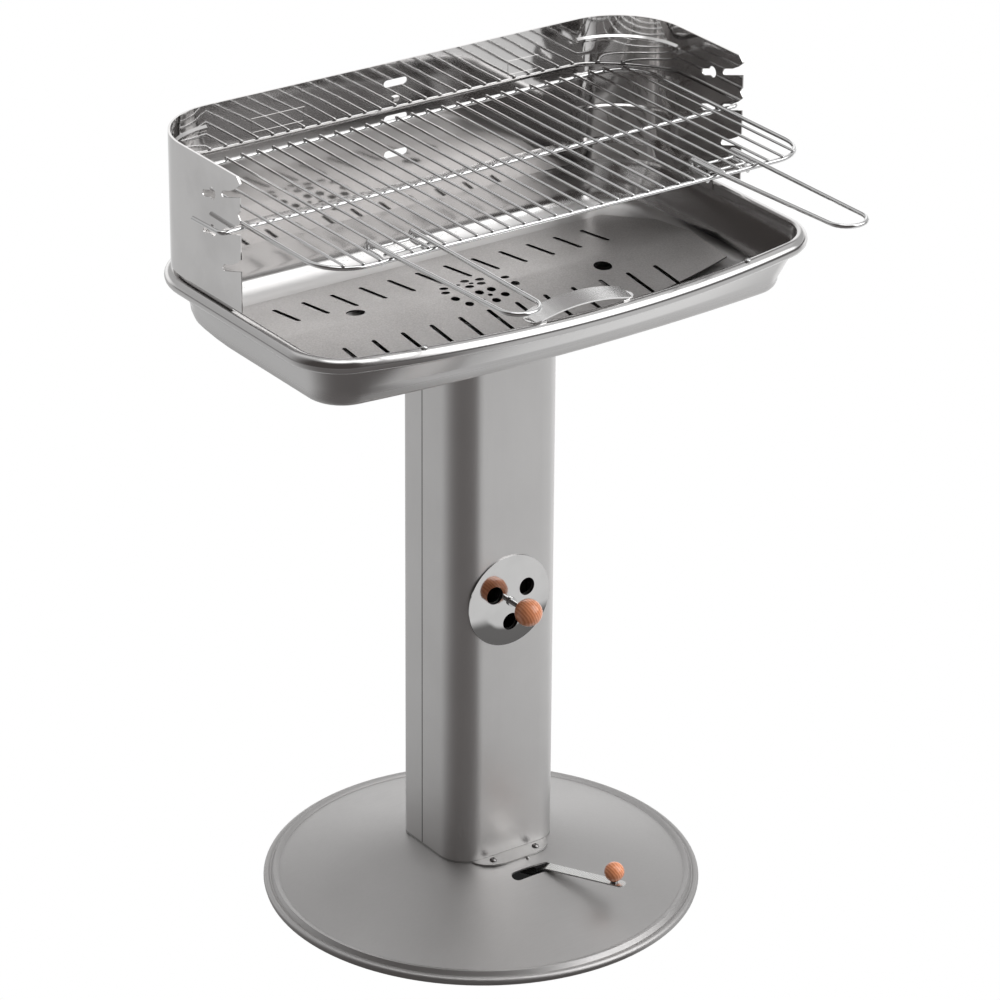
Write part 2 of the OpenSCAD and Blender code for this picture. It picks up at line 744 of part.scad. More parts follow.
module lever_ball() {
    color(oak) at_lever(lever_z + seat) translate([0, -lever_ball_r, 0]) difference() {
        translate([0, 0, lever_ball_d / 2 + head_h / 2]) sphere(d = lever_ball_d, $fn = 64);
        translate([0, 0, -eps]) cylinder(d = lever_screw_d + clear * 2, h = lever_ball_d * 0.7, $fn = 32);
        translate([0, 0, -eps]) cylinder(d = lever_ball_d, h = head_h / 2 + eps + seat, $fn = 40);
    }
}

module lever_screw() {
    color(shiny) at_lever(lever_z) translate([0, -lever_ball_r, 0]) {
        translate([0, 0, -lever_t - seat - head_h / 2]) cylinder(d = head_d, h = head_h / 2, $fn = 40);
        translate([0, 0, -lever_t - seat - head_h / 2])
            cylinder(d = lever_screw_d, h = lever_ball_d * 0.7 + lever_t, $fn = 32);
        translate([0, 0, seat]) cylinder(d = head_d, h = head_h / 2, $fn = 40);
    }
}

module damper_disc() {
    color(steel) translate([0, 0, damper_z]) linear_extrude(damper_t) difference() {
        circle(r = damper_r, $fn = 120);
        ash_ports();
        circle(d = pivot_d + running * 2, $fn = 48);
    }
}

module damper_hub() {
    color(steel) translate([0, 0, hub_low]) linear_extrude(damper_z - seat - hub_low) difference() {
        circle(d = hub_d, $fn = 64);
        circle(d = pivot_d + running * 2, $fn = 48);
    }
}

module pivot_bolt() {
    color(shiny) {
        translate([0, 0, pivot_low]) cylinder(d = pivot_d, h = cone_top_z + head_h - pivot_low, $fn = 48);
        translate([0, 0, cone_top_z + seat]) cylinder(d = pivot_d * 2, h = head_h, $fn = 6);
    }
}

module pivot_nut() {
    color(shiny) translate([0, 0, lever_low - lever_t - seat - nut_h]) difference() {
        cylinder(d = pivot_d * 1.9, h = nut_h, $fn = 6);
        translate([0, 0, -eps]) cylinder(d = pivot_d + clear * 2, h = nut_h + eps * 2, $fn = 48);
    }
}

module ballast_ring() {
    color(dark) difference() {
        rotate_extrude($fn = 180) polygon([[ballast_in, ballast_z], [ballast_out, ballast_z],
            [ballast_out, ballast_z + ballast_h], [ballast_in, ballast_z + ballast_h]]);
        for (a = [30, 150, 270]) rotate(a) translate([pad_circle, 0, 0])
            cylinder(d = stud_d + clear * 2, h = cone_top_z, $fn = 32);
    }
}

module ballast_stud(a) {
    over = foot_skin * 1.15 + seat;
    top = cone_top_z - over - (pad_circle + stud_d - cone_top_r) * cone_fall;
    color(dark) rotate(a) translate([pad_circle, 0, 0]) {
        translate([0, 0, ballast_z / 2 + seat])
            cylinder(d = stud_d, h = top - ballast_z / 2 - seat, $fn = 32);
        translate([0, 0, ballast_z / 2 + seat])
            cylinder(d = stud_d * 2, h = ballast_z / 2 - seat * 2, $fn = 40);
        translate([0, 0, ballast_z + ballast_h + seat])
            cylinder(d = stud_d * 1.8, h = top - ballast_z - ballast_h - seat - weld, $fn = 6);
    }
}
module ballast_stud_a() { ballast_stud(30); }
module ballast_stud_b() { ballast_stud(150); }
module ballast_stud_c() { ballast_stud(270); }

module pad(a) {
    color(dark) rotate(a) translate([pad_circle, 0, 0]) difference() {
        cylinder(d = pad_d, h = ballast_z - seat, $fn = 48);
        translate([0, 0, ballast_z / 2]) cylinder(d = stud_d * 2 + clear * 2, h = ballast_z, $fn = 40);
    }
}
module pad_right() { pad(30); }
module pad_left() { pad(150); }
module pad_front() { pad(270); }

module rim_slice(inset, drop) {
    translate([0, 0, rim_z - drop - weld / 2]) linear_extrude(weld / 2) polygon(rim_line(inset));
}

module fire_bowl() {
    top = rim_z - bowl_skin;
    collar = top - collar_h;
    color(steel) difference() {
        union() {
            hull() {
                translate([0, 0, collar]) linear_extrude(collar_h) polygon(tub_line(-bowl_skin));
                translate([0, 0, bowl_z + hem_low]) linear_extrude(weld / 2) polygon(low_line(-bowl_skin));
                translate([0, 0, bowl_z + hem_low / 3]) linear_extrude(weld / 2)
                    polygon(low_line(hem_mid_in - bowl_skin));
                translate([0, 0, bowl_z]) linear_extrude(weld / 2) polygon(low_line(hem_low_in));
            }
            difference() {
                hull() {
                    rim_slice(rim_round, 0);
                    rim_slice(rim_round * 0.3, rim_round * 0.4);
                    rim_slice(0, rim_round * 1.1);
                    rim_slice(rim_round * 0.25, skirt_h - weld);
                }
                hull() {
                    rim_slice(rim_round + bowl_skin / 2, bowl_skin + weld / 2);
                    rim_slice(rim_round * 0.3 + bowl_skin, rim_round * 0.4 + bowl_skin);
                    rim_slice(bowl_skin, rim_round * 1.1 + bowl_skin / 2);
                    rim_slice(rim_round * 0.25 + bowl_skin, skirt_h + eps);
                }
            }
        }
        hull() {
            translate([0, 0, collar]) linear_extrude(collar_h + bowl_skin + eps) polygon(tub_line(0));
            translate([0, 0, bowl_z + hem_low]) linear_extrude(weld / 2) polygon(low_line(weld));
            translate([0, 0, bowl_z + hem_low / 2]) linear_extrude(weld / 2) polygon(low_line(hem_mid_in));
            translate([0, 0, bowl_z + bowl_skin]) linear_extrude(weld / 2) polygon(low_line(hem_low_in));
        }
        translate([0, 0, bowl_z - eps]) cylinder(d = open_d, h = bowl_skin + eps * 2, $fn = 96);
        for (sx = [-1, 1]) for (sy = [-1, 1]) translate([sx * bolt_x, sy * bolt_y, bowl_z - eps])
            cylinder(d = bolt_d + clear * 2, h = bowl_skin + eps * 2, $fn = 32);
        for (s = [-1, 1]) {
            translate([s * rivet_x, -rivet_y, top - eps])
                cylinder(d = rivet_d / 2 + clear * 2, h = bowl_skin + eps * 2, $fn = 32);
            translate([s * (tub_half - eps), shield_rear / 3, collar + collar_h / 2]) rotate([0, s * 90, 0])
                cylinder(d = screw_d + clear * 2, h = bowl_skin + eps * 2, $fn = 32);
        }
    }
}

module front_strap() {
    r = (strap_half * strap_half + strap_rise * strap_rise) / (strap_rise * 2);
    a = asin(strap_half / r);
    long = strap_half * 2 + strap_foot;
    color(shiny) translate([strap_x, -strap_y, rim_z + seat]) intersection() {
        union() {
            rotate([strap_tilt, 0, 0]) translate([0, strap_w * 1.1, strap_rise + strap_t - r])
                rotate([90, 0, 0]) linear_extrude(strap_w * 1.2)
                polygon(concat(arc(0, 0, r, 90 - a, 90 + a, 20),
                arc(0, 0, r - strap_t, 90 + a, 90 - a, 20)));
            for (s = [-1, 1]) translate([s * strap_half - strap_foot, 0, 0])
                cube([strap_foot * 2, strap_w, strap_t]);
        }
        translate([0, strap_w / 2, -eps]) linear_extrude(strap_rise * 3)
            polygon(stadium(long, strap_w, 0));
    }
}

module rim_rivet(s) {
    color(shiny) translate([s * rivet_x, -rivet_y, 0]) {
        translate([0, 0, rim_z + seat]) intersection() {
            cylinder(d = rivet_d, h = head_h, $fn = 40);
            translate([0, 0, head_h - rivet_d * 0.62]) sphere(d = rivet_d * 1.24, $fn = 48);
        }
        translate([0, 0, rim_z - bowl_skin * 2])
            cylinder(d = rivet_d / 2, h = bowl_skin * 2 + head_h / 2, $fn = 32);
    }
}
module rim_rivet_l() { rim_rivet(-1); }
module rim_rivet_r() { rim_rivet(1); }

module grate_holes() {
    for (i = [0:11]) {
        x = slot_first + i * slot_pitch;
        translate([x, rear_slit_y + slit_len / 2]) polygon(stadium(slit_len, slit_w, 90));
        translate([x, front_slit_y - slit_len / 2]) polygon(stadium(slit_len, slit_w, 90));
    }
    for (s = [-1, 1]) translate([s * finger_share * grate_half, -s * finger_d + ridge_y])
        circle(d = finger_d, $fn = 48);
    for (q = big_share(hole_big)) translate([q[0], ridge_y + q[1]]) circle(d = hole_big, $fn = 24);
    for (q = small_share(hole_small)) translate([q[0], ridge_y + q[1]]) circle(d = hole_small, $fn = 20);
}
finger_share = 0.52;
function big_share(s) = s * [[-0.1, 3], [1.5, 2.4], [4, 1.05], [-0.8, 1], [0.8, 1.05], [-3.3, 2.4], [-4, 1],
    [-4.05, -1], [-3.3, -2.65], [-0.83, -0.97], [0.77, -0.96], [3.97, -1], [1.5, -2.6], [-0.15, -3.3],
    [3.2, 2.4], [3.3, -2.6]];
function small_share(s) = s * [[0, 3.2], [-2.5, 4.1], [-0.1, -3.4], [-2.5, -4.5], [2.5, 4.2], [2.6, -4.4]];

module charcoal_grate() {
    f = tan(grate_slope);
    zt = grate_top_z;
    side = grate_half;
    yb = grate_front + grate_bow;
    low = (grate_rear - ridge_y) * f;
    floor_z = bowl_z + bowl_skin + seat;
    color(steel) translate([grate_x, 0, 0]) {
        difference() {
            intersection() {
                translate([-side, 0, 0]) rotate([90, 0, 90]) linear_extrude(side * 2) polygon([[ridge_y, zt],
                    [grate_rear, zt - low], [grate_rear, zt - low - grate_t], [ridge_y, zt - grate_t],
                    [grate_front, zt - grate_t - (ridge_y - grate_front) * f],
                    [grate_front, zt - (ridge_y - grate_front) * f]]);
                translate([0, 0, bowl_z]) linear_extrude(bowl_z) polygon(concat(
                    [[side, grate_rear - grate_cut_y], [side - grate_cut_x, grate_rear],
                    [grate_cut_x - side, grate_rear], [-side, grate_rear - grate_cut_y]],
                    arc(0, yb, grate_bow, -90 - asin(side / grate_bow), -90 + asin(side / grate_bow), 24)));
            }
            translate([0, 0, bowl_z]) linear_extrude(bowl_z) grate_holes();
        }
        for (s = [-1, 1]) translate([s * side / 2 - grate_foot * 2, grate_foot_y, floor_z])
            cube([grate_foot * 4, grate_foot, zt - (ridge_y - grate_foot_y) * f - grate_t / 2 - floor_z]);
    }
}

module notch(level) {
    s = tan(notch_slope);
    e = notch_depth;
    q = throat_half;
    m = mouth_depth;
    translate([-shield_half - eps, shield_front, level]) rotate([90, 0, 90])
        linear_extrude(shield_half * 2 + eps * 2) polygon([[-eps, mouth_rise + eps / 2], [0, mouth_rise],
        [m * 0.4, q + (mouth_rise - q) * 0.42 - m * 0.4 * s], [m, q - m * s], [e - q, q - (e - q) * s],
        [e - q * 0.3, q * 0.7 - e * s], [e, -e * s], [e - q * 0.3, -q * 0.7 - e * s],
        [e - q, -q - (e - q) * s], [0, -q], [-eps, -q]]);
}

module keyhole(level) {
    w = throat_half * 2;
    translate([-shield_half - eps, shield_front + keyhole_from, level - keyhole_from * tan(notch_slope)])
        rotate([90, 0, 90]) linear_extrude(shield_half * 2 + eps * 2) {
        circle(d = keyhole_d, $fn = 40);
        rotate(-notch_slope) translate([keyhole_len / 2, 0]) polygon(stadium(keyhole_len + w, w, 0));
    }
}

module nick() {
    translate([-shield_half - eps, shield_front, nick_z]) rotate([90, 0, 90])
        linear_extrude(shield_half * 2 + eps * 2) polygon([[-eps, nick_h + eps],
        [nick_in * 0.5, nick_h * 0.6], [nick_in, 0], [nick_in * 0.8, -nick_h * 0.3], [-eps, -nick_h - eps]]);
}

module wind_shield() {
    foot_in = shield_step;
    inner = shield_half - shield_skin;
    color(shiny) difference() {
        union() {
            translate([0, 0, shield_low]) linear_extrude(shield_top - shield_low)
                shield_band(0, shield_skin);
            translate([0, 0, shield_top - hem_h]) linear_extrude(hem_h) shield_band(0, shield_skin * 2);
            intersection() {
                union() {
                    translate([0, 0, shield_low]) linear_extrude(shield_skin)
                        shield_band(0, foot_in + shield_skin);
                    translate([0, 0, shield_foot]) linear_extrude(shield_low + shield_skin - shield_foot)
                        shield_band(foot_in, shield_skin);
                }
                translate([-shield_half, shield_front + foot_back, 0])
                    cube([shield_half * 2, shield_rear * 2, shield_top]);
            }
            for (level = [level_high, level_mid, level_low]) for (m = [0, 1]) mirror([m, 0, 0])
                translate([shield_half - shield_r, shield_rear - shield_r, level - bead_drop])
                rotate_extrude(angle = 90, $fn = 96) polygon([[shield_r - shield_skin / 2, bead_h / 2],
                [shield_r - shield_skin - bead_in, bead_h / 6],
                [shield_r - shield_skin - bead_in, -bead_h / 6], [shield_r - shield_skin / 2, -bead_h / 2]]);
            translate([-lance / 2, shield_rear - shield_skin / 2, lance_z]) rotate([90, 0, 90])
                linear_extrude(lance) polygon([[0, lance / 2], [-lance / 2, lance / 2],
                [-lance / 4, -lance / 4], [0, -lance / 2]]);
            blank(blank_left_x, blank_left_z, blank_len);
            blank(blank_right_x, blank_right_z, blank_len_b);
        }
        for (level = [level_high, level_mid, level_low]) {
            notch(level);
            translate([0, shield_rear + eps, level - back_drop]) rotate([90, 0, 0])
                linear_extrude(shield_skin + bead_in + eps)
                polygon(stadium(back_slot_w, back_slot_h, 0));
        }
        for (level = [level_high, level_mid]) keyhole(level);
        nick();
        for (s = [-1, 1]) translate([s * (shield_half - foot_in + eps), shield_rear / 3,
            rim_z - bowl_skin - collar_h / 2]) rotate([0, -s * 90, 0])
            cylinder(d = screw_d + clear * 2, h = shield_skin + eps * 2, $fn = 32);
        translate([-shield_half - eps, shield_front, shield_top]) rotate([90, 0, 90])
            linear_extrude(shield_half * 2 + eps * 2) polygon([[-eps, eps], [hem_h, eps], [-eps, -hem_h]]);
    }
}

module blank(x, z, l) {
    translate([x - l / 2, shield_rear - shield_skin - blank_deep, z - blank_h / 2]) difference() {
        cube([l, blank_deep + shield_skin / 2, blank_h]);
        translate([blank_line, -eps, blank_line])
            cube([l - blank_line * 2, eps * 2 + shield_skin + blank_deep, blank_h - blank_line * 2]);
    }
}

module shield_bolt(s) {
    face = shield_half - shield_step - shield_skin;
    long = shield_skin + bowl_skin + seat * 3 + head_h;
    color(shiny) translate([s * face, shield_rear / 3, rim_z - bowl_skin - collar_h / 2])
        rotate([0, s * 90, 0]) {
        translate([0, 0, -seat - head_h / 2]) cylinder(d = screw_d, h = long, $fn = 32);
        translate([0, 0, -seat - head_h / 2]) cylinder(d = head_d, h = head_h / 2, $fn = 40);
    }
}
module shield_bolt_l() { shield_bolt(-1); }
module shield_bolt_r() { shield_bolt(1); }

module cooking_grid() {
    w = grid_half;
    r = grid_r;
    x0 = grid_x;
    function lift(p) = [for (q = p) [x0 + q[0], q[1], grid_z]];
    function reach(x) = max(abs(x - x0) - (w - r), 0);
    color(shiny) {
        wire(lift(concat(arc(w - r, grid_front + r, r, -90, 0, 9), arc(w - r, grid_rear - r, r, 0, 90, 9),
            arc(r - w, grid_rear - r, r, 90, 180, 9), arc(r - w, grid_front + r, r, 180, 270, 9))),
            wire_d / 2, 10, true);
        wire([for (q = concat([[-hook_x - hook_splay, hook_y]],
            arc(hook_r - hook_x, grid_cross + hook_r, hook_r, 180, 270, 5),
            arc(hook_x - hook_r, grid_cross + hook_r, hook_r, 270, 360, 5),
            [[hook_x + hook_splay, hook_y]])) [q[0], q[1], grid_z - wire_d + weld]], wire_d / 2, 10, false);
        for (i = [0:thin_gaps]) {
            x = thin_first + i * thin_pitch;
            cut = r - sqrt(r * r - reach(x) * reach(x));
            translate([x, grid_front + cut, grid_z + wire_d / 2 + thin_d / 2 - weld]) rotate([-90, 0, 0])
                cylinder(d = thin_d, h = grid_rear - grid_front - cut * 2, $fn = 16);
        }
    }
}

module grid_handle(x) {
    z = grid_z + wire_d + seat;
    a = handle_half;
    b = handle_tip_half;
    color(shiny) wire(concat([[x - a, handle_in, z], [x - a, grid_front, z]],
        [for (q = arc(0, handle_tip, b, 180, 360, 14)) [x + q[0], q[1], z + handle_rise]],
        [[x + a, grid_front, z], [x + a, handle_in, z]]), wire_d / 2, 10, false);
}
module grid_handle_l() { grid_handle(grid_x - handle_x); }
module grid_handle_r() { grid_handle(grid_x + handle_x); }

foot_disc();
foot_plate();
foot_screw_fl();
foot_screw_fr();
foot_screw_rl();
foot_screw_rr();
column_front();
column_rear();
column_top();
bowl_bolt_fl();
bowl_bolt_fr();
bowl_bolt_rl();
bowl_bolt_rr();
vent_disc();
vent_stem();
vent_ball();
vent_washer();
vent_spring();
vent_nut();
lever_arm();
lever_ball();
lever_screw();
damper_disc();
damper_hub();
pivot_bolt();
pivot_nut();
ballast_ring();
pad_front();
pad_left();
pad_right();
ballast_stud_a();
ballast_stud_b();
ballast_stud_c();
fire_bowl();
front_strap();
rim_rivet_l();
rim_rivet_r();
charcoal_grate();
wind_shield();
shield_bolt_l();
shield_bolt_r();
cooking_grid();
grid_handle_l();
grid_handle_r();
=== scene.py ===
"""Looks of a garden column barbecue: camera, light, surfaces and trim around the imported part."""
import logging
import math
from abc import ABC, abstractmethod
from dataclasses import dataclass, field, replace
from enum import Enum
from typing import Any, Optional, Sequence, Union

import bmesh
import bpy
from mathutils import Matrix, Vector
from mathutils.kdtree import KDTree


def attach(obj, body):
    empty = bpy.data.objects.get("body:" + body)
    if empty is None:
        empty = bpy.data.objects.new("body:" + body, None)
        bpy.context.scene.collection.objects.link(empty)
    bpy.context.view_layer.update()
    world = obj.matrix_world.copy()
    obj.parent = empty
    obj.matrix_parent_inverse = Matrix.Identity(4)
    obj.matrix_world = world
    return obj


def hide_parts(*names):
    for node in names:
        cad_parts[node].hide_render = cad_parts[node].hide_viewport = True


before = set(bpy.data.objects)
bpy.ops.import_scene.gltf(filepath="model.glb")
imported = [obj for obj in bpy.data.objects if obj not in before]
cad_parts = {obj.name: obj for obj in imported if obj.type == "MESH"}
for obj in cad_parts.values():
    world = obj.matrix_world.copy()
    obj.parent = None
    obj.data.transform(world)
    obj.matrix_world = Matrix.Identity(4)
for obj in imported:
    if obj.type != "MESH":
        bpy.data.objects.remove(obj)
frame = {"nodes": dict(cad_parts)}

log = logging.getLogger("barbecue")
Pair = tuple[float, float]
Triple = tuple[float, float, float]
Inputs = dict[Union[int, str], Any]

WHITE: Triple = (1.0, 1.0, 1.0)
BLACK: Triple = (0.0, 0.0, 0.0)


def write_bounds() -> None:
    """Updates the view layer, so that places and sizes are current."""
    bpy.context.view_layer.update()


write_bounds()


def between(a: float, b: float, share: float) -> float:
    """Returns the value that lies a share of the way from a to b."""
    return a + (b - a) * share


def grey(level: float) -> Triple:
    """Returns a colour without hue."""
    return (level, level, level)


class Sock:
    """A shader value that can be combined with plain arithmetic."""

    def __init__(self, graph: "Graph", socket: bpy.types.NodeSocket) -> None:
        """Keeps a socket together with the tree that it belongs to."""
        self.graph = graph
        self.socket = socket

    def _math(self, op: str, a: "Operand", b: "Operand" = 0.0) -> "Sock":
        """Adds one Math node."""
        return self.graph.node("ShaderNodeMath", {0: a, 1: b}, operation=op)

    def __add__(self, other: "Operand") -> "Sock":
        """Returns self + other."""
        return self._math("ADD", self, other)

    __radd__ = __add__

    def __sub__(self, other: "Operand") -> "Sock":
        """Returns self - other."""
        return self._math("SUBTRACT", self, other)

    def __rsub__(self, other: "Operand") -> "Sock":
        """Returns other - self."""
        return self._math("SUBTRACT", other, self)

    def __mul__(self, other: "Operand") -> "Sock":
        """Returns self * other."""
        return self._math("MULTIPLY", self, other)

    __rmul__ = __mul__

    def __truediv__(self, other: "Operand") -> "Sock":
        """Returns self / other."""
        return self._math("DIVIDE", self, other)

    def __rtruediv__(self, other: "Operand") -> "Sock":
        """Returns other / self."""
        return self._math("DIVIDE", other, self)

    def __pow__(self, other: "Operand") -> "Sock":
        """Returns self ** other."""
        return self._math("POWER", self, other)

    def __rpow__(self, other: "Operand") -> "Sock":
        """Returns other ** self."""
        return self._math("POWER", other, self)

    def __gt__(self, other: "Operand") -> "Sock":
        """Returns 1 where self > other, else 0."""
        return self._math("GREATER_THAN", self, other)

    def __lt__(self, other: "Operand") -> "Sock":
        """Returns 1 where self < other, else 0."""
        return self._math("LESS_THAN", self, other)

    def absolute(self) -> "Sock":
        """Returns the value without its sign."""
        return self._math("ABSOLUTE", self)

    def span(self, low: float, high: float, to_low: float = 0.0, to_high: float = 1.0) -> "Sock":
        """Maps the value smoothly from one range to another.

        Args:
            low: start of the range that is read.
            high: end of the range that is read.
            to_low: value at the start.
            to_high: value at the end.

        Returns:
            The mapped value.
        """
        limits = {0: self, 1: low, 2: high, 3: to_low, 4: to_high}
        return self.graph.node("ShaderNodeMapRange", limits, interpolation_type="SMOOTHSTEP")

    def parts(self) -> tuple["Sock", "Sock", "Sock"]:
        """Splits a vector into its three values."""
        made = self.graph.raw("ShaderNodeSeparateXYZ", {0: self})
        return tuple(Sock(self.graph, made.outputs[i]) for i in range(3))


Operand = Union[Sock, float, Sequence[float]]


@dataclass(frozen=True)
class Noise:
    """Size and raggedness of a soft noise."""
    scale: float
    detail: float = 3.0
    rough: float = 0.5


class Graph:
    """One node tree, with one way to add nodes to it."""

    def __init__(self, tree: bpy.types.NodeTree) -> None:
        """Takes over a node tree and empties it."""
        self.tree = tree
        tree.nodes.clear()

    def raw(self, kind: str, inputs: Inputs, **settings: Any) -> bpy.types.Node:
        """Adds a node and wires its inputs.

        Args:
            kind: node type.
            inputs: input index or name to a value or another socket.
            **settings: node properties, set before the inputs.

        Returns:
            The node.
        """
        made = self.tree.nodes.new(kind)
        for name, value in settings.items():
            setattr(made, name, value)
        for key, value in inputs.items():
            target = made.inputs[key]
            if isinstance(value, Sock):
                self.tree.links.new(value.socket, target)
            else:
                target.default_value = value
        return made

    def node(self, kind: str, inputs: Inputs, output: Union[int, str] = 0,
             **settings: Any) -> Sock:
        """Adds a node and returns one of its outputs."""
        return Sock(self, self.raw(kind, inputs, **settings).outputs[output])

    def place(self) -> Sock:
        """Returns the object's own coordinates."""
        return self.node("ShaderNodeTexCoord", {}, "Object")

    def scaled(self, vector: Sock, scale: Triple,
               turn: Triple = (0.0, 0.0, 0.0)) -> Sock:
        """Returns a vector stretched and turned."""
        return self.node("ShaderNodeMapping",
                         {"Vector": vector, "Scale": scale, "Rotation": turn})

    def noise(self, vector: Sock, look: Noise) -> Sock:
        """Returns a soft noise value."""
        return self.node("ShaderNodeTexNoise", {"Vector": vector, "Scale": look.scale,
                                                "Detail": look.detail, "Roughness": look.rough},
                         "Fac")

    def blend(self, factor: Operand, a: Operand, b: Operand) -> Sock:
        """Mixes two colours.

        Args:
            factor: 0 for the first colour, 1 for the second.
            a: first colour.
            b: second colour.

        Returns:
            The mixed colour.
        """
        colours = [c if isinstance(c, Sock) else (*c, 1.0) for c in (a, b)]
        # Sockets 6 and 7 and output 2 are the ones for colours.
        return self.node("ShaderNodeMix", {0: factor, 6: colours[0], 7: colours[1]}, 2,
                         data_type="RGBA")

    def bump(self, height: Sock, strength: float, distance: float) -> Sock:
        """Turns a height into a normal."""
        return self.node("ShaderNodeBump",
                         {"Height": height, "Strength": strength, "Distance": distance}, "Normal")


class Grain(Enum):
    """Direction in which a sheet was brushed, as a stretch of its noise."""
    ALONG_X = (0.02, 1.0, 1.0)
    ALONG_Y = (1.0, 0.02, 1.0)
    ALONG_Z = (1.0, 1.0, 0.02)
    NONE = (1.0, 1.0, 1.0)


@dataclass(frozen=True)
class Metal:
    """Finish of a bare metal surface.

    The first fields are the tone, the polish and the brushed grain. Then come cloudy and fine
    changes of tone, waves in the sheet, painted shade on upright faces, painted shade with some
    dirt in a seam at a place along Y, the hollow of a disc round dish_at (x, z), a painted dark
    reflection shaped like a crescent in it, and the polish lost between the two heights of
    dull_from.
    """
    tone: Triple = (0.6, 0.6, 0.6)
    rough: float = 0.3
    rough_swing: float = 0.05
    grain: Grain = Grain.NONE
    grain_scale: float = 900.0
    grain_depth: float = 0.02
    mottle: float = 0.04
    speck: float = 0.0
    wave: float = 0.0
    upright_shade: float = 0.0
    seam: float = 0.0
    dish: float = 0.0
    dish_at: Pair = (0.0, 0.0)
    crescent_reflection: float = 0.0
    dull: float = 0.0
    dull_from: Pair = (0.706, 0.694)


@dataclass(frozen=True)
class Timber:
    """Finish of turned, oiled wood."""
    light: Triple = (0.95, 0.4, 0.2)
    dark: Triple = (0.72, 0.23, 0.095)
    stretch: Triple = (1.0, 0.25, 1.0)
    turn: Triple = (0.3, 0.4, 0.2)
    rings: float = 110.0
    ring_share: float = 0.55
    ring_bend: float = 3.0
    ring_detail: float = 2.0
    warp: Noise = Noise(40.0)
    depth: float = 0.1
    rough: float = 0.34
    coat: float = 0.6


@dataclass(frozen=True)
class Plain:
    """Finish of a dull cast or rubber part."""
    tone: Triple = (0.04, 0.04, 0.04)
    rough: float = 0.8
    speckle: float = 0.3
    metallic: float = 0.0
    grit: Noise = Noise(500.0, 5.0, 0.7)


Finish = Union[Metal, Timber, Plain]


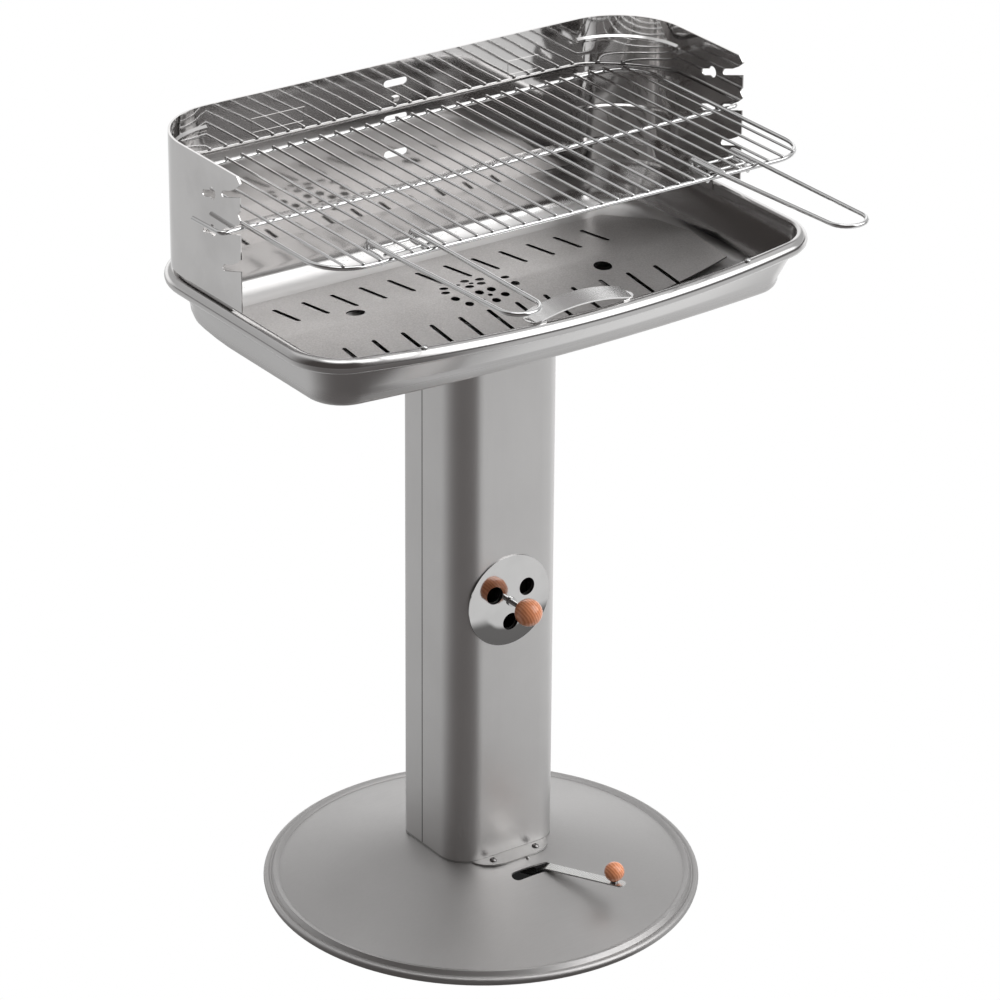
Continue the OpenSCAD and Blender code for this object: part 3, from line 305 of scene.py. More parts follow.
@dataclass
class Surface:
    """A named material made from a finish. Lengths are in metres, on the object's own axes."""
    name: str
    finish: Finish
    grain_detail: float = 4.0
    grain_rough: float = 0.6
    grain_span: Pair = (0.3, 0.7)
    grain_reach: float = 0.002
    cloud: Noise = Noise(9.0, 4.0, 0.55)
    speck: Noise = Noise(620.0, 2.0, 0.6)
    cloud_span: Pair = (0.35, 0.65)
    # Colours and ranges of the painted shade on upright faces and in a seam, and of the painted
    # dark reflection in a hollow disc.
    upright_shade_tone: Triple = (0.02, 0.018, 0.018)
    upright_shade_span: Pair = (0.3, 0.7)
    seam_shade_tone: Triple = (0.05, 0.045, 0.045)
    seam_shade_edge: Pair = (0.0004, 0.0011)
    crescent_reflection_tone: Triple = (0.1, 0.096, 0.094)
    crescent_reflection_ring: Pair = (0.0009, 0.00125)
    crescent_reflection_drop: Pair = (-0.010, -0.024)
    crescent_reflection_lean: float = 0.006
    crescent_reflection_fray: float = 0.0003
    crescent_reflection_noise: Noise = Noise(60.0, 1.0)
    dish_noise: Noise = Noise(30.0, 1.0)
    sheet_noise: Noise = Noise(7.0, 1.0, 0.3)
    sheet_reach: float = 0.01
    wood_span: Pair = (0.2, 0.8)
    fine_reach: float = 0.001

    def build(self) -> bpy.types.Material:
        """Makes the material.

        Returns:
            A new material whose look comes only from nodes.
        """
        made = bpy.data.materials.new(self.name)
        made.use_nodes = True
        graph = Graph(made.node_tree)
        maker = {Metal: self._metal, Timber: self._timber, Plain: self._plain}[type(self.finish)]
        shader = graph.node("ShaderNodeBsdfPrincipled", maker(graph))
        graph.raw("ShaderNodeOutputMaterial", {0: shader})
        return made

    def _metal(self, graph: Graph) -> Inputs:
        """Wires bare metal.

        Args:
            graph: tree of the new material.

        Returns:
            Inputs of its shader.
        """
        look: Metal = self.finish
        place = graph.place()
        grain = Noise(look.grain_scale, self.grain_detail, self.grain_rough)
        brushed = graph.noise(graph.scaled(place, look.grain.value), grain)
        rough = brushed.span(*self.grain_span, look.rough - look.rough_swing,
                             look.rough + look.rough_swing)
        if look.dull:
            rough = rough + place.parts()[2].span(*look.dull_from, 0.0, look.dull)
        return {"Base Color": self._metal_tone(graph, place), "Metallic": 1.0, "Roughness": rough,
                "Normal": self._metal_relief(graph, place, brushed)}

    def _metal_tone(self, graph: Graph, place: Sock) -> Sock:
        """Colours bare metal: clouds, specks, painted shade on upright faces and in a seam, a
        painted reflection.

        Args:
            graph: tree of the new material.
            place: the object's own coordinates.

        Returns:
            The colour.
        """
        look: Metal = self.finish
        mix = graph.noise(place, self.cloud).span(*self.cloud_span)
        if look.speck:
            fine = graph.noise(place, self.speck).span(*self.cloud_span)
            mix = mix * (1.0 - look.speck) + fine * look.speck
        colour = graph.blend(mix, tuple(max(c - look.mottle, 0.0) for c in look.tone),
                             tuple(min(c + look.mottle, 1.0) for c in look.tone))
        # Painted shade: upright faces, such as the walls of the slots, are darkened by their
        # direction.
        if look.upright_shade:
            level = graph.node("ShaderNodeNewGeometry", {}, "Normal").parts()[2].absolute()
            colour = graph.blend(level.span(*self.upright_shade_span, look.upright_shade, 0.0), colour,
                                 self.upright_shade_tone)
        # Painted shade with some dirt: a thin dark line in the gap where the two shells meet.
        if look.seam:
            across = (place.parts()[1] - look.seam).absolute()
            colour = graph.blend(across.span(*self.seam_shade_edge, 1.0, 0.0), colour, self.seam_shade_tone)
        # Painted reflection: a dark crescent in the lower part of the hollow disc.
        if look.crescent_reflection:
            x, z, apart = self._from_middle(place)
            fray = graph.noise(place, self.crescent_reflection_noise) * self.crescent_reflection_fray
            edge = (apart + x * self.crescent_reflection_lean + fray).span(*self.crescent_reflection_ring)
            colour = graph.blend(edge * z.span(*self.crescent_reflection_drop) * look.crescent_reflection, colour,
                                 self.crescent_reflection_tone)
        return colour

    def _metal_relief(self, graph: Graph, place: Sock, brushed: Sock) -> Sock:
        """Bends the normal of bare metal: a hollow disc, a wavy sheet or only its grain.

        Args:
            graph: tree of the new material.
            place: the object's own coordinates.
            brushed: noise of the grain.

        Returns:
            The normal.
        """
        look: Metal = self.finish
        if look.dish:
            wave = graph.noise(place, self.dish_noise) * look.wave
            return graph.bump(self._from_middle(place)[2] * look.dish + wave, 1.0, 1.0)
        if look.wave:
            wave = graph.noise(place, self.sheet_noise) * look.wave
            return graph.bump(brushed * look.grain_depth + wave, 1.0, self.sheet_reach)
        return graph.bump(brushed, look.grain_depth, self.grain_reach)

    def _from_middle(self, place: Sock) -> tuple[Sock, Sock, Sock]:
        """Measures from the middle of a hollow disc.

        Args:
            place: the object's own coordinates.

        Returns:
            The distance across, the distance up, and the square of both together.
        """
        across, _, up = place.parts()
        x, z = across - self.finish.dish_at[0], up - self.finish.dish_at[1]
        return x, z, x * x + z * z

    def _timber(self, graph: Graph) -> Inputs:
        """Wires wood.

        Args:
            graph: tree of the new material.

        Returns:
            Inputs of its shader.
        """
        look: Timber = self.finish
        place = graph.scaled(graph.place(), look.stretch, look.turn)
        rings = graph.node("ShaderNodeTexWave",
                           {"Vector": place, "Scale": look.rings, "Distortion": look.ring_bend,
                            "Detail": look.ring_detail}, "Fac")
        mixed = rings * look.ring_share + graph.noise(place, look.warp) * (1.0 - look.ring_share)
        return {"Base Color": graph.blend(mixed.span(*self.wood_span), look.dark, look.light),
                "Roughness": look.rough, "Coat Weight": look.coat,
                "Normal": graph.bump(mixed, look.depth, self.fine_reach)}

    def _plain(self, graph: Graph) -> Inputs:
        """Wires a dull part.

        Args:
            graph: tree of the new material.

        Returns:
            Inputs of its shader.
        """
        look: Plain = self.finish
        grit = graph.noise(graph.place(), look.grit)
        high = tuple(c * (1.0 + look.speckle) for c in look.tone)
        return {"Base Color": graph.blend(grit, look.tone, high), "Roughness": look.rough,
                "Metallic": look.metallic,
                "Normal": graph.bump(grit, look.speckle, self.fine_reach)}


# Finish of the nodes that WEAR does not name.
USUAL_FINISH = "fastener"

FINISHES: dict[str, Finish] = {
    # The column gets a thin line of painted shade, with some dirt, at the seam of its shells.
    "satin_steel": Metal(tone=(0.63, 0.622, 0.617), rough=0.37, rough_swing=0.02,
                         grain=Grain.ALONG_Z, grain_depth=0.02, mottle=0.012, seam=0.0127),
    "tab_steel": Metal(tone=(0.46, 0.455, 0.45), rough=0.46, rough_swing=0.04,
                       grain=Grain.ALONG_X, grain_depth=0.03),
    "foot_steel": Metal(tone=(0.5, 0.492, 0.488), rough=0.46, rough_swing=0.04,
                        grain=Grain.ALONG_X, grain_depth=0.03, mottle=0.01),
    "bowl_steel": Metal(tone=(0.58, 0.572, 0.568), rough=0.14, rough_swing=0.0,
                        grain=Grain.ALONG_X, grain_depth=0.0, mottle=0.01, wave=0.01, dull=0.28),
    # The grate's upright faces get painted shade.
    "grate_steel": Metal(tone=(0.5, 0.487, 0.48), rough=0.47, rough_swing=0.06,
                         grain_scale=420.0, grain_depth=0.05, mottle=0.07, speck=0.6, upright_shade=0.95),
    "mirror_steel": Metal(tone=(0.66, 0.65, 0.645), rough=0.06, rough_swing=0.015,
                          grain_depth=0.0, wave=0.02),
    # The vent disc gets a painted dark reflection shaped like a crescent.
    "vent_steel": Metal(tone=(0.68, 0.675, 0.67), rough=0.08, rough_swing=0.01, grain_depth=0.0,
                        wave=0.0001, dish=1.1, dish_at=(-0.004, 0.3635), crescent_reflection=0.9),
    "strap_steel": Metal(tone=(0.96, 0.955, 0.95), rough=0.2, rough_swing=0.01,
                         grain_depth=0.0, mottle=0.01),
    "wire": Metal(tone=(0.72, 0.72, 0.72), rough=0.07, rough_swing=0.03, grain_depth=0.01),
    "dark_screw": Metal(tone=(0.26, 0.25, 0.25), rough=0.22, rough_swing=0.03),
    "lever_steel": Metal(tone=(0.7, 0.7, 0.69), rough=0.28, rough_swing=0.04,
                         grain=Grain.ALONG_Y),
    USUAL_FINISH: Metal(tone=(0.6, 0.6, 0.6), rough=0.2, rough_swing=0.03),
    "timber": Timber(),
    "cast": Plain(tone=(0.05, 0.05, 0.052), rough=0.7, speckle=0.4, metallic=0.6),
    "rubber": Plain(tone=(0.02, 0.02, 0.02), rough=0.85),
}

# Which nodes of the part wear which finish.
WEAR: dict[str, tuple[str, ...]] = {
    "satin_steel": ("column_front", "column_rear", "column_top"),
    "tab_steel": ("foot_plate",),
    "dark_screw": ("foot_screw_fl", "foot_screw_fr", "foot_screw_rl", "foot_screw_rr",
                   "lever_screw"),
    "foot_steel": ("foot_disc",),
    "bowl_steel": ("fire_bowl",),
    "grate_steel": ("charcoal_grate", "damper_disc", "damper_hub"),
    "mirror_steel": ("wind_shield",),
    "strap_steel": ("front_strap",),
    "vent_steel": ("vent_disc",),
    "wire": ("cooking_grid", "grid_handle_l", "grid_handle_r"),
    "lever_steel": ("lever_arm",),
    "timber": ("vent_ball", "lever_ball"),
    "cast": ("ballast_ring", "ballast_stud_a", "ballast_stud_b", "ballast_stud_c"),
    "rubber": ("pad_front", "pad_left", "pad_right"),
}

# Steepest angle in degrees between facets that still looks round, and the nodes with another.
USUAL_ANGLE = 32.0
SMOOTH_ANGLE: dict[str, float] = {
    "fire_bowl": 62.0, "cooking_grid": 75.0, "grid_handle_l": 75.0, "grid_handle_r": 75.0,
    "front_strap": 50.0,
}


@dataclass
class Wardrobe:
    """Gives every node of the part its surface."""
    finishes: dict[str, Finish]
    wear: dict[str, tuple[str, ...]]
    made: dict[str, bpy.types.Material] = field(default_factory=dict)
    weld_reach: float = 1e-6

    def dress(self, nodes: dict[str, bpy.types.Object]) -> None:
        """Makes all materials and puts them into the nodes' slots.

        Args:
            nodes: node name to object.
        """
        self.made = {name: Surface(name, look).build() for name, look in self.finishes.items()}
        chosen = {node: name for name, group in self.wear.items() for node in group}
        for name, thing in nodes.items():
            made = self.made[chosen.get(name, USUAL_FINISH)]
            if not thing.material_slots:
                thing.data.materials.append(made)
            for slot in thing.material_slots:
                slot.material = made
            self.smooth(thing, SMOOTH_ANGLE.get(name, USUAL_ANGLE))

    def put(self, piece: bpy.types.Object, finish: str) -> None:
        """Gives a piece of the scene one surface all over.

        Args:
            piece: the piece.
            finish: name of its finish.
        """
        piece.data.materials.clear()
        piece.data.materials.append(self.made[finish])

    def smooth(self, thing: bpy.types.Object, angle: float) -> None:
        """Shades a solid smoothly up to an angle, without moving a vertex.

        Args:
            thing: the solid.
            angle: steepest angle in degrees that still looks round.
        """
        thing.data.polygons.foreach_set("use_smooth", [True] * len(thing.data.polygons))
        # A solid comes as loose triangles, so their points are joined first.
        weld = thing.modifiers.new("weld", "WELD")
        weld.merge_threshold = self.weld_reach
        split = thing.modifiers.new("split", "EDGE_SPLIT")
        split.split_angle = math.radians(angle)
        split.use_edge_sharp = False


class Fill(Enum):
    """What spans a new circle."""
    OPEN = "NOTHING"
    FACE = "NGON"


class Bench:
    """Steps of modelling by hand that several pieces share."""

    @staticmethod
    def clear() -> None:
        """Leaves edit mode and deselects everything."""
        if bpy.context.object is not None and bpy.context.object.mode != "OBJECT":
            bpy.ops.object.mode_set(mode="OBJECT")
        bpy.ops.object.select_all(action="DESELECT")

    @staticmethod
    def pick(made: bpy.types.Object) -> None:
        """Selects one object alone and makes it active.

        Args:
            made: the object.
        """
        Bench.clear()
        made.select_set(True)
        bpy.context.view_layer.objects.active = made

    @staticmethod
    def take(name: str) -> bpy.types.Object:
        """Names the object that was just made.

        Args:
            name: its new name.

        Returns:
            The object.
        """
        made = bpy.context.object
        made.name = made.data.name = name
        return made

    @staticmethod
    def settle(made: bpy.types.Object) -> None:
        """Moves place, turn and size of an object into its mesh."""
        Bench.pick(made)
        bpy.ops.object.transform_apply(location=True, rotation=True, scale=True)

    @staticmethod
    def ring(name: str, sides: int, radius: float, place: Triple = (0.0, 0.0, 0.0),
             turn: Triple = (0.0, 0.0, 0.0), fill: Fill = Fill.OPEN) -> bpy.types.Object:
        """Adds a circle to pull a shape from.

        Args:
            name: its name.
            sides: number of its points.
            radius: its radius.
            place: its middle.
            turn: its turn in radians.
            fill: what spans it.

        Returns:
            The circle, with its place and turn in its mesh.
        """
        Bench.clear()
        bpy.ops.mesh.primitive_circle_add(vertices=sides, radius=radius, fill_type=fill.value,
                                          location=place, rotation=turn)
        made = Bench.take(name)
        Bench.settle(made)
        return made

    @staticmethod
    def pull(made: bpy.types.Object, rings: Sequence[Sequence[Triple]]) -> None:
        """Extrudes the edge loop of a new circle from ring to ring.

        Args:
            made: a circle primitive without a face.
            rings: places of the loop's points, ring by ring.
        """
        bpy.ops.object.mode_set(mode="EDIT")
        mesh = bmesh.from_edit_mesh(made.data)
        for vert, place in zip(mesh.verts, rings[0]):
            vert.co = place
        bmesh.update_edit_mesh(made.data)
        bpy.ops.mesh.select_all(action="SELECT")
        for before, after in zip(rings, rings[1:]):
            bpy.ops.mesh.extrude_region_move(TRANSFORM_OT_translate={"value": (0.0, 0.0, 0.0)})
            # The new points come in another order, so each is found by its place.
            near = KDTree(len(before))
            for index, place in enumerate(before):
                near.insert(place, index)
            near.balance()
            mesh = bmesh.from_edit_mesh(made.data)
            for vert in mesh.verts:
                if vert.select:
                    vert.co = after[near.find(vert.co)[1]]
            bmesh.update_edit_mesh(made.data)
        bpy.ops.object.mode_set(mode="OBJECT")

    @staticmethod
    def close() -> None:
        """Turns all faces of the mesh in edit mode outwards and leaves edit mode."""
        bpy.ops.mesh.select_all(action="SELECT")
        bpy.ops.mesh.normals_make_consistent(inside=False)
        bpy.ops.object.mode_set(mode="OBJECT")

    @staticmethod
    def apply(made: bpy.types.Object, kind: str, **settings: Any) -> None:
        """Adds a modifier and applies it.

        Args:
            made: the piece.
            kind: modifier type.
            **settings: modifier properties.
        """
        Bench.pick(made)
        added = made.modifiers.new(kind.lower(), kind)
        for name, value in settings.items():
            setattr(added, name, value)
        bpy.ops.object.modifier_apply(modifier=added.name)

    @staticmethod
    def polish(made: bpy.types.Object, angle: float) -> None:
        """Shades a piece smoothly up to an angle in degrees."""
        Bench.pick(made)
        bpy.ops.object.shade_smooth_by_angle(angle=math.radians(angle))

    @staticmethod
    def join(pieces: Sequence[bpy.types.Object], name: str) -> bpy.types.Object:
        """Joins pieces into one.

        Args:
            pieces: objects to join.
            name: name of the result.

        Returns:
            The joined object.
        """
        Bench.clear()
        for piece in pieces:
            piece.select_set(True)
        bpy.context.view_layer.objects.active = pieces[0]
        bpy.ops.object.join()
        return Bench.take(name)

    @staticmethod
    def copy(made: bpy.types.Object, move: Triple) -> bpy.types.Object:
        """Copies a piece with its own mesh and moves the copy's points.

        Args:
            made: the piece.
            move: how far the copy's points move.

        Returns:
            The copy.
        """
        twin = made.copy()
        twin.data = made.data.copy()
        bpy.context.scene.collection.objects.link(twin)
        twin.data.transform(Matrix.Translation(move))
        return twin


@dataclass(frozen=True)
class Plan:
    """Outline of the bowl in plan, with a bowed front, and the points of each stretch of it."""
    half: float
    front: float
    bow: float
    corner: float
    rear: float
    rear_corner: float
    bow_points: int = 44
    corner_points: int = 14
    side_points: int = 8
    rear_points: int = 16

    def inward(self, by: float) -> "Plan":
        """Returns the outline moved inward."""
        return replace(self, half=self.half - by, front=self.front + by, bow=self.bow - by,
                       corner=self.corner - by, rear=self.rear - by,
                       rear_corner=self.rear_corner - by)

    def points(self) -> list[Pair]:
        """Walks around the outline.

        Returns:
            Its points, from the front left corner over the right side and the rear.
        """
        reach, side = self.bow - self.corner, self.half - self.corner
        middle = self.front + self.bow
        low = middle - math.sqrt(reach * reach - side * side)
        turn = math.degrees(math.asin(side / reach))
        back, inner = self.rear - self.rear_corner, self.half - self.rear_corner
        bend = self.corner_points
        return (self._arc((0.0, middle), self.bow, (-90 - turn, -90 + turn), self.bow_points)
                + self._arc((side, low), self.corner, (-90 + turn, 0), bend)
                + self._line((self.half, low), (self.half, back), self.side_points)
                + self._arc((inner, back), self.rear_corner, (0, 90), bend)
                + self._line((inner, self.rear), (-inner, self.rear), self.rear_points)
                + self._arc((-inner, back), self.rear_corner, (90, 180), bend)
                + self._line((-self.half, back), (-self.half, low), self.side_points)
                + self._arc((-side, low), self.corner, (180, 270 - turn), bend))

    @staticmethod
    def _arc(middle: Pair, radius: float, turns: Pair, count: int) -> list[Pair]:
        """Places points on an arc, without its end.

        Args:
            middle: middle of the arc.
            radius: its radius.
            turns: its first and last angle in degrees.
            count: number of points.

        Returns:
            The points.
        """
        angles = [math.radians(turns[0] + (turns[1] - turns[0]) * i / count)
                  for i in range(count)]
        return [(middle[0] + radius * math.cos(a), middle[1] + radius * math.sin(a))
                for a in angles]

    @staticmethod
    def _line(start: Pair, end: Pair, count: int) -> list[Pair]:
        """Returns points on a straight stretch, without its end."""
        return [(start[0] + (end[0] - start[0]) * i / count,
                 start[1] + (end[1] - start[1]) * i / count) for i in range(count)]


@dataclass
class Assembly(ABC):
    """Pieces that are modelled together and wear one finish."""
    finish: str = USUAL_FINISH

    @abstractmethod
    def build(self) -> list[bpy.types.Object]:
        """Models the pieces.

        Returns:
            The finished pieces.
        """

    def dress(self, pieces: Sequence[bpy.types.Object], wardrobe: Wardrobe) -> None:
        """Gives the pieces their surface.

        Args:
            pieces: the finished pieces.
            wardrobe: holds the materials.
        """
        for piece in pieces:
            wardrobe.put(piece, self.finish)


@dataclass
class Bowl(Assembly):
    """Pressed fire bowl: rolled rim, leaning walls and round lower edge, drawn from one sheet.

    The bead, the lip and the hem are profiles. Each point of the bead and the lip is how far it
    lies inside its outline and how far below the rim, each point of the hem how far inside the
    floor's outline and how far above the floor. The hem grows rear_hem times wider between the
    two places of rear_from along Y. The collar is the upright top of the walls, and the shares
    place the rings down the walls and in from the hem to the flue opening.
    """
    finish: str = "bowl_steel"
    rim: Plan = Plan(half=0.3190, front=-0.2145, bow=1.0815, corner=0.0655, rear=0.1785,
                     rear_corner=0.084)
    mouth: Plan = Plan(half=0.3045, front=-0.200, bow=1.150, corner=0.048, rear=0.1575,
                       rear_corner=0.0695)
    floor: Plan = Plan(half=0.291, front=-0.165, bow=2.400, corner=0.042, rear=0.155,
                       rear_corner=0.060)
    rim_z: float = 0.7535
    floor_z: float = 0.6895
    sheet: float = 0.0015
    opening: float = 0.046
    collar: float = 0.012
    bead: tuple[Pair, ...] = (
        (0.0080, 0.0150), (0.0050, 0.0155), (0.0022, 0.0145), (0.0006, 0.0123), (0.0, 0.0094),
        (0.0004, 0.0068), (0.0018, 0.0040), (0.0038, 0.0019), (0.0062, 0.0006), (0.0085, 0.0))
    lip: tuple[Pair, ...] = ((-0.0030, 0.0001), (-0.0009, 0.0009), (0.0, 0.0028))
    hem: tuple[Pair, ...] = (
        (0.0, 0.0120), (0.0005, 0.0083), (0.0018, 0.0050), (0.0039, 0.0026), (0.0068, 0.0009),
        (0.0095, 0.0002), (0.0120, 0.0))
    wall_shares: tuple[float, ...] = (0.0, 0.25, 0.5, 0.75)
    floor_shares: tuple[float, ...] = (0.25, 0.55, 1.0)
    rear_hem: float = 2.2
    rear_from: Pair = (0.04, 0.14)
    round_to: float = 40.0

    def rings(self) -> list[list[Triple]]:
        """Lists the rings from the rolled lip to the flue opening.

        Returns:
            The places of each ring's points.
        """
        made = [[(x, y, self.rim_z - drop) for x, y in plan.inward(by).points()]
                for plan, profile in ((self.rim, self.bead), (self.mouth, self.lip))
                for by, drop in profile]
        hems = [self._hem(by, up) for by, up in self.hem]
        top = self.rim_z - self.collar
        wall = list(zip(self.mouth.points(), self.floor.points(), hems[0]))
        for share in self.wall_shares:
            made.append([(between(a[0], b[0], share), between(a[1], b[1], share),
                          between(top, low[2], share)) for a, b, low in wall])
        made += hems
        for share in self.floor_shares:
            made.append([self._toward(x, y, share) for x, y, _ in hems[-1]])
        return made

    def _hem(self, by: float, up: float) -> list[Triple]:
        """Places one ring of the round lower edge, which is wider along the rear wall.

        Args:
            by: how far it lies inside the floor's outline.
            up: how far it lies above the floor.

        Returns:
            The places of its points.
        """
        made = []
        start, end = self.rear_from
        small = self.floor.inward(by).points()
        wide = self.floor.inward(by * self.rear_hem).points()
        for a, b in zip(small, wide):
            share = min(max((a[1] - start) / (end - start), 0.0), 1.0)
            share = share * share * (3.0 - 2.0 * share)
            made.append((between(a[0], b[0], share), between(a[1], b[1], share),
                         self.floor_z + up * between(1.0, self.rear_hem, share)))
        return made

    def _toward(self, x: float, y: float, share: float) -> Triple:
        """Moves a point of the floor towards the flue opening.

        Args:
            x: its place along X.
            y: its place along Y.
            share: 0 where it is, 1 on the edge of the opening.

        Returns:
            Its new place.
        """
        keep = between(1.0, self.opening / math.hypot(x, y), share)
        return (x * keep, y * keep, self.floor_z)

    def build(self) -> list[bpy.types.Object]:
        """Models the bowl.

        Returns:
            The finished piece, alone in a list.
        """
        rings = self.rings()
        made = Bench.ring("bowl_shell", len(rings[0]), self.rim.half)
        Bench.pull(made, rings)
        # The floor faces up before the sheet gets its thickness.
        if made.data.polygons[-1].normal.z < 0:
            made.data.flip_normals()
        Bench.apply(made, "SOLIDIFY", thickness=self.sheet, offset=-1.0)
        Bench.polish(made, self.round_to)
        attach(made, "stand")
        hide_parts("fire_bowl")
        return [made]


@dataclass
class GridTrim(Assembly):
    """Small wire work of the cooking grid: curled handle ends, cross rods and weld beads.

    The tail of a curl is told by shares of its length back and by how far it rises. The wires
    are told by the first one's place, their pitch and their number.
    """
    finish: str = "wire"
    handles: tuple[tuple[str, float], ...] = (("handle_trim_l", -0.1999),
                                              ("handle_trim_r", 0.2011))
    leg: float = 0.026
    leg_z: float = 0.8512
    leg_end: float = -0.1266
    leg_r: float = 0.0025
    leg_sides: int = 14
    curl: float = 0.0052
    curl_steps: int = 12
    back: float = 0.020
    tail: tuple[Pair, ...] = ((0.7, 0.0), (1.0, -0.0012), (1.25, -0.0045))
    rod_r: float = 0.0015
    rod_sides: int = 12
    rod_inset: float = 0.3
    rod_sink: float = 0.0004
    rods: Pair = (-0.1555, -0.1345)
    bead: float = 0.0019
    bead_sides: tuple[int, int] = (10, 6)
    bead_form: Triple = (1.15, 1.5, 0.85)
    bead_cut: float = 0.5
    wire_z: float = 0.8495
    wires: tuple[float, float, int] = (-0.2786, 0.0192586, 30)
    frame: Pair = (-0.1660, 0.1504)
    frame_half: float = 0.2985
    frame_corner: float = 0.044
    frame_x: float = 0.0006
    round_to: float = 50.0

    def build(self) -> list[bpy.types.Object]:
        """Models the trim of both handles and all weld beads.

        Returns:
            The finished pieces.
        """
        made = [self._handle(name, x) for name, x in self.handles]
        made.append(self._beads())
        for piece in made:
            Bench.polish(piece, self.round_to)
            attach(piece, "grid")
        return made

    def _handle(self, name: str, x: float) -> bpy.types.Object:
        """Models the two curls and the cross rods of one handle.

        Args:
            name: name of the piece.
            x: middle of the handle.

        Returns:
            The piece.
        """
        curl = self._curl(x - self.leg)
        rods = [self._rod(x, y) for y in self.rods]
        return Bench.join([curl, Bench.copy(curl, (self.leg * 2, 0.0, 0.0)), *rods], name)

    def _curl(self, x: float) -> bpy.types.Object:
        """Models the curled end of one leg of a handle.

        Args:
            x: place of the leg.

        Returns:
            The curl.
        """
        made = Bench.ring("curl", self.leg_sides, self.leg_r, (x, self.leg_end, self.leg_z),
                          (math.pi / 2, 0, 0))
        ring = [vert.co.copy() for vert in made.data.vertices]
        centre = Vector((x, self.leg_end, self.leg_z - self.curl))
        rings = []
        for step in range(self.curl_steps + 1):
            turn = Matrix.Rotation(-math.pi * step / self.curl_steps, 3, "X")
            rings.append([tuple(centre + turn @ (place - centre)) for place in ring])
        last = rings[-1]
        for share, rise in self.tail:
            rings.append([(p[0], p[1] - self.back * share, p[2] + rise) for p in last])
        Bench.pull(made, rings)
        bpy.ops.object.mode_set(mode="EDIT")
        # Closes the end of the tail.
        bpy.ops.mesh.edge_face_add()
        Bench.close()
        return made

    def _rod(self, x: float, y: float) -> bpy.types.Object:
        """Models one cross rod under a handle.

        Args:
            x: middle of the handle.
            y: place of the rod.

        Returns:
            The rod.
        """
        reach = self.leg + self.leg_r
        low = self.leg_z - self.leg_r - self.rod_r + self.rod_sink
        made = Bench.ring("rod", self.rod_sides, self.rod_r, (x - reach, y, low),
                          (0, math.pi / 2, 0), Fill.FACE)
        bpy.ops.object.mode_set(mode="EDIT")
        bpy.ops.mesh.select_all(action="SELECT")
        bpy.ops.mesh.inset(thickness=self.rod_r * self.rod_inset, depth=0.0)
        bpy.ops.mesh.select_all(action="SELECT")
        bpy.ops.mesh.extrude_region_move(TRANSFORM_OT_translate={"value": (reach * 2, 0.0, 0.0)})
        Bench.close()
        return made

    def _beads(self) -> bpy.types.Object:
        """Models the weld beads where the thin wires meet the frame.

        Returns:
            All beads as one piece.
        """
        Bench.clear()
        segments, rings = self.bead_sides
        bpy.ops.mesh.primitive_uv_sphere_add(segments=segments, ring_count=rings,
                                             radius=self.bead)
        seed = Bench.take("bead")
        bpy.ops.object.mode_set(mode="EDIT")
        bpy.ops.mesh.select_all(action="SELECT")
        bpy.ops.transform.resize(value=self.bead_form)
        bpy.ops.mesh.bisect(plane_co=(0, 0, -self.bead * self.bead_cut), plane_no=(0, 0, 1),
                            clear_inner=True, use_fill=True)
        bpy.ops.object.mode_set(mode="OBJECT")
        first, pitch, count = self.wires
        copies = []
        for index in range(count):
            x = first + pitch * index
            past = max(abs(x - self.frame_x) - (self.frame_half - self.frame_corner), 0.0)
            cut = self.frame_corner - math.sqrt(max(self.frame_corner ** 2 - past ** 2, 0.0))
            copies.append(Bench.copy(seed, (x, self.frame[0] + cut, self.wire_z)))
            copies.append(Bench.copy(seed, (x, self.frame[1] - cut, self.wire_z)))
        bpy.data.objects.remove(seed)
        return Bench.join(copies, "weld_beads")


@dataclass(frozen=True)
class Lens:
    """Camera of the photograph: where it stands and how it looks.

    Angles are in degrees, places in metres, the focal length and the sensor in millimetres.
    """
    name: str = "photo_camera"
    azimuth: float = -34.71
    away: float = 4.7271
    height: float = 2.6973
    pitch: float = 25.34
    roll: float = 0.31
    aside: float = 0.1991
    focal: float = 176.07
    sensor: float = 36.0
    sight: float = 50.0

    def build(self) -> bpy.types.Object:
        """Adds the camera and makes it the scene's own.

        Returns:
            The camera.
        """
        turn, dip = math.radians(self.azimuth), math.radians(self.pitch)
        flat = Vector((-math.sin(turn), math.cos(turn), 0.0))
        ahead = (flat * math.cos(dip) - Vector((0, 0, math.sin(dip)))).normalized()
        right = ahead.cross(Vector((0, 0, 1))).normalized()
        up = right.cross(ahead)
        right, up = self._turned(right, up, self.roll)
        ahead, right = self._turned(ahead, right, self.aside)
        data = bpy.data.cameras.new(self.name)
        data.lens, data.sensor_width, data.clip_end = self.focal, self.sensor, self.sight
        data.dof.use_dof = False
        made = bpy.data.objects.new(self.name, data)
        bpy.context.scene.collection.objects.link(made)
        place = Matrix((right, up, -ahead)).transposed().to_4x4()
        place.translation = -flat * self.away + Vector((0, 0, self.height))
        made.matrix_world = place
        bpy.context.scene.camera = made
        return made

    @staticmethod
    def _turned(first: Vector, second: Vector, degrees: float) -> tuple[Vector, Vector]:
        """Turns two square directions in their own plane.

        Args:
            first: direction that turns towards the second.
            second: direction that turns away from the first.
            degrees: by how much.

        Returns:
            Both directions after the turn.
        """
        c, s = math.cos(math.radians(degrees)), math.sin(math.radians(degrees))
        return first * c + second * s, second * c - first * s


@dataclass(frozen=True)
class Lamp:
    """One soft area light, which no mirror and no camera shows."""
    name: str
    place: Triple
    aim: Triple
    size: Pair
    power: float

    def build(self) -> bpy.types.Object:
        """Adds the light.

        Returns:
            The light.
        """
        data = bpy.data.lights.new(self.name, "AREA")
        data.shape, data.size, data.size_y = "RECTANGLE", *self.size
        data.energy = self.power
        made = bpy.data.objects.new(self.name, data)
        bpy.context.scene.collection.objects.link(made)
        made.location = self.place
        ray = Vector(self.aim) - Vector(self.place)
        made.rotation_euler = ray.to_track_quat("-Z", "Y").to_euler()
        made.visible_camera = False
        made.visible_glossy = False
        return made


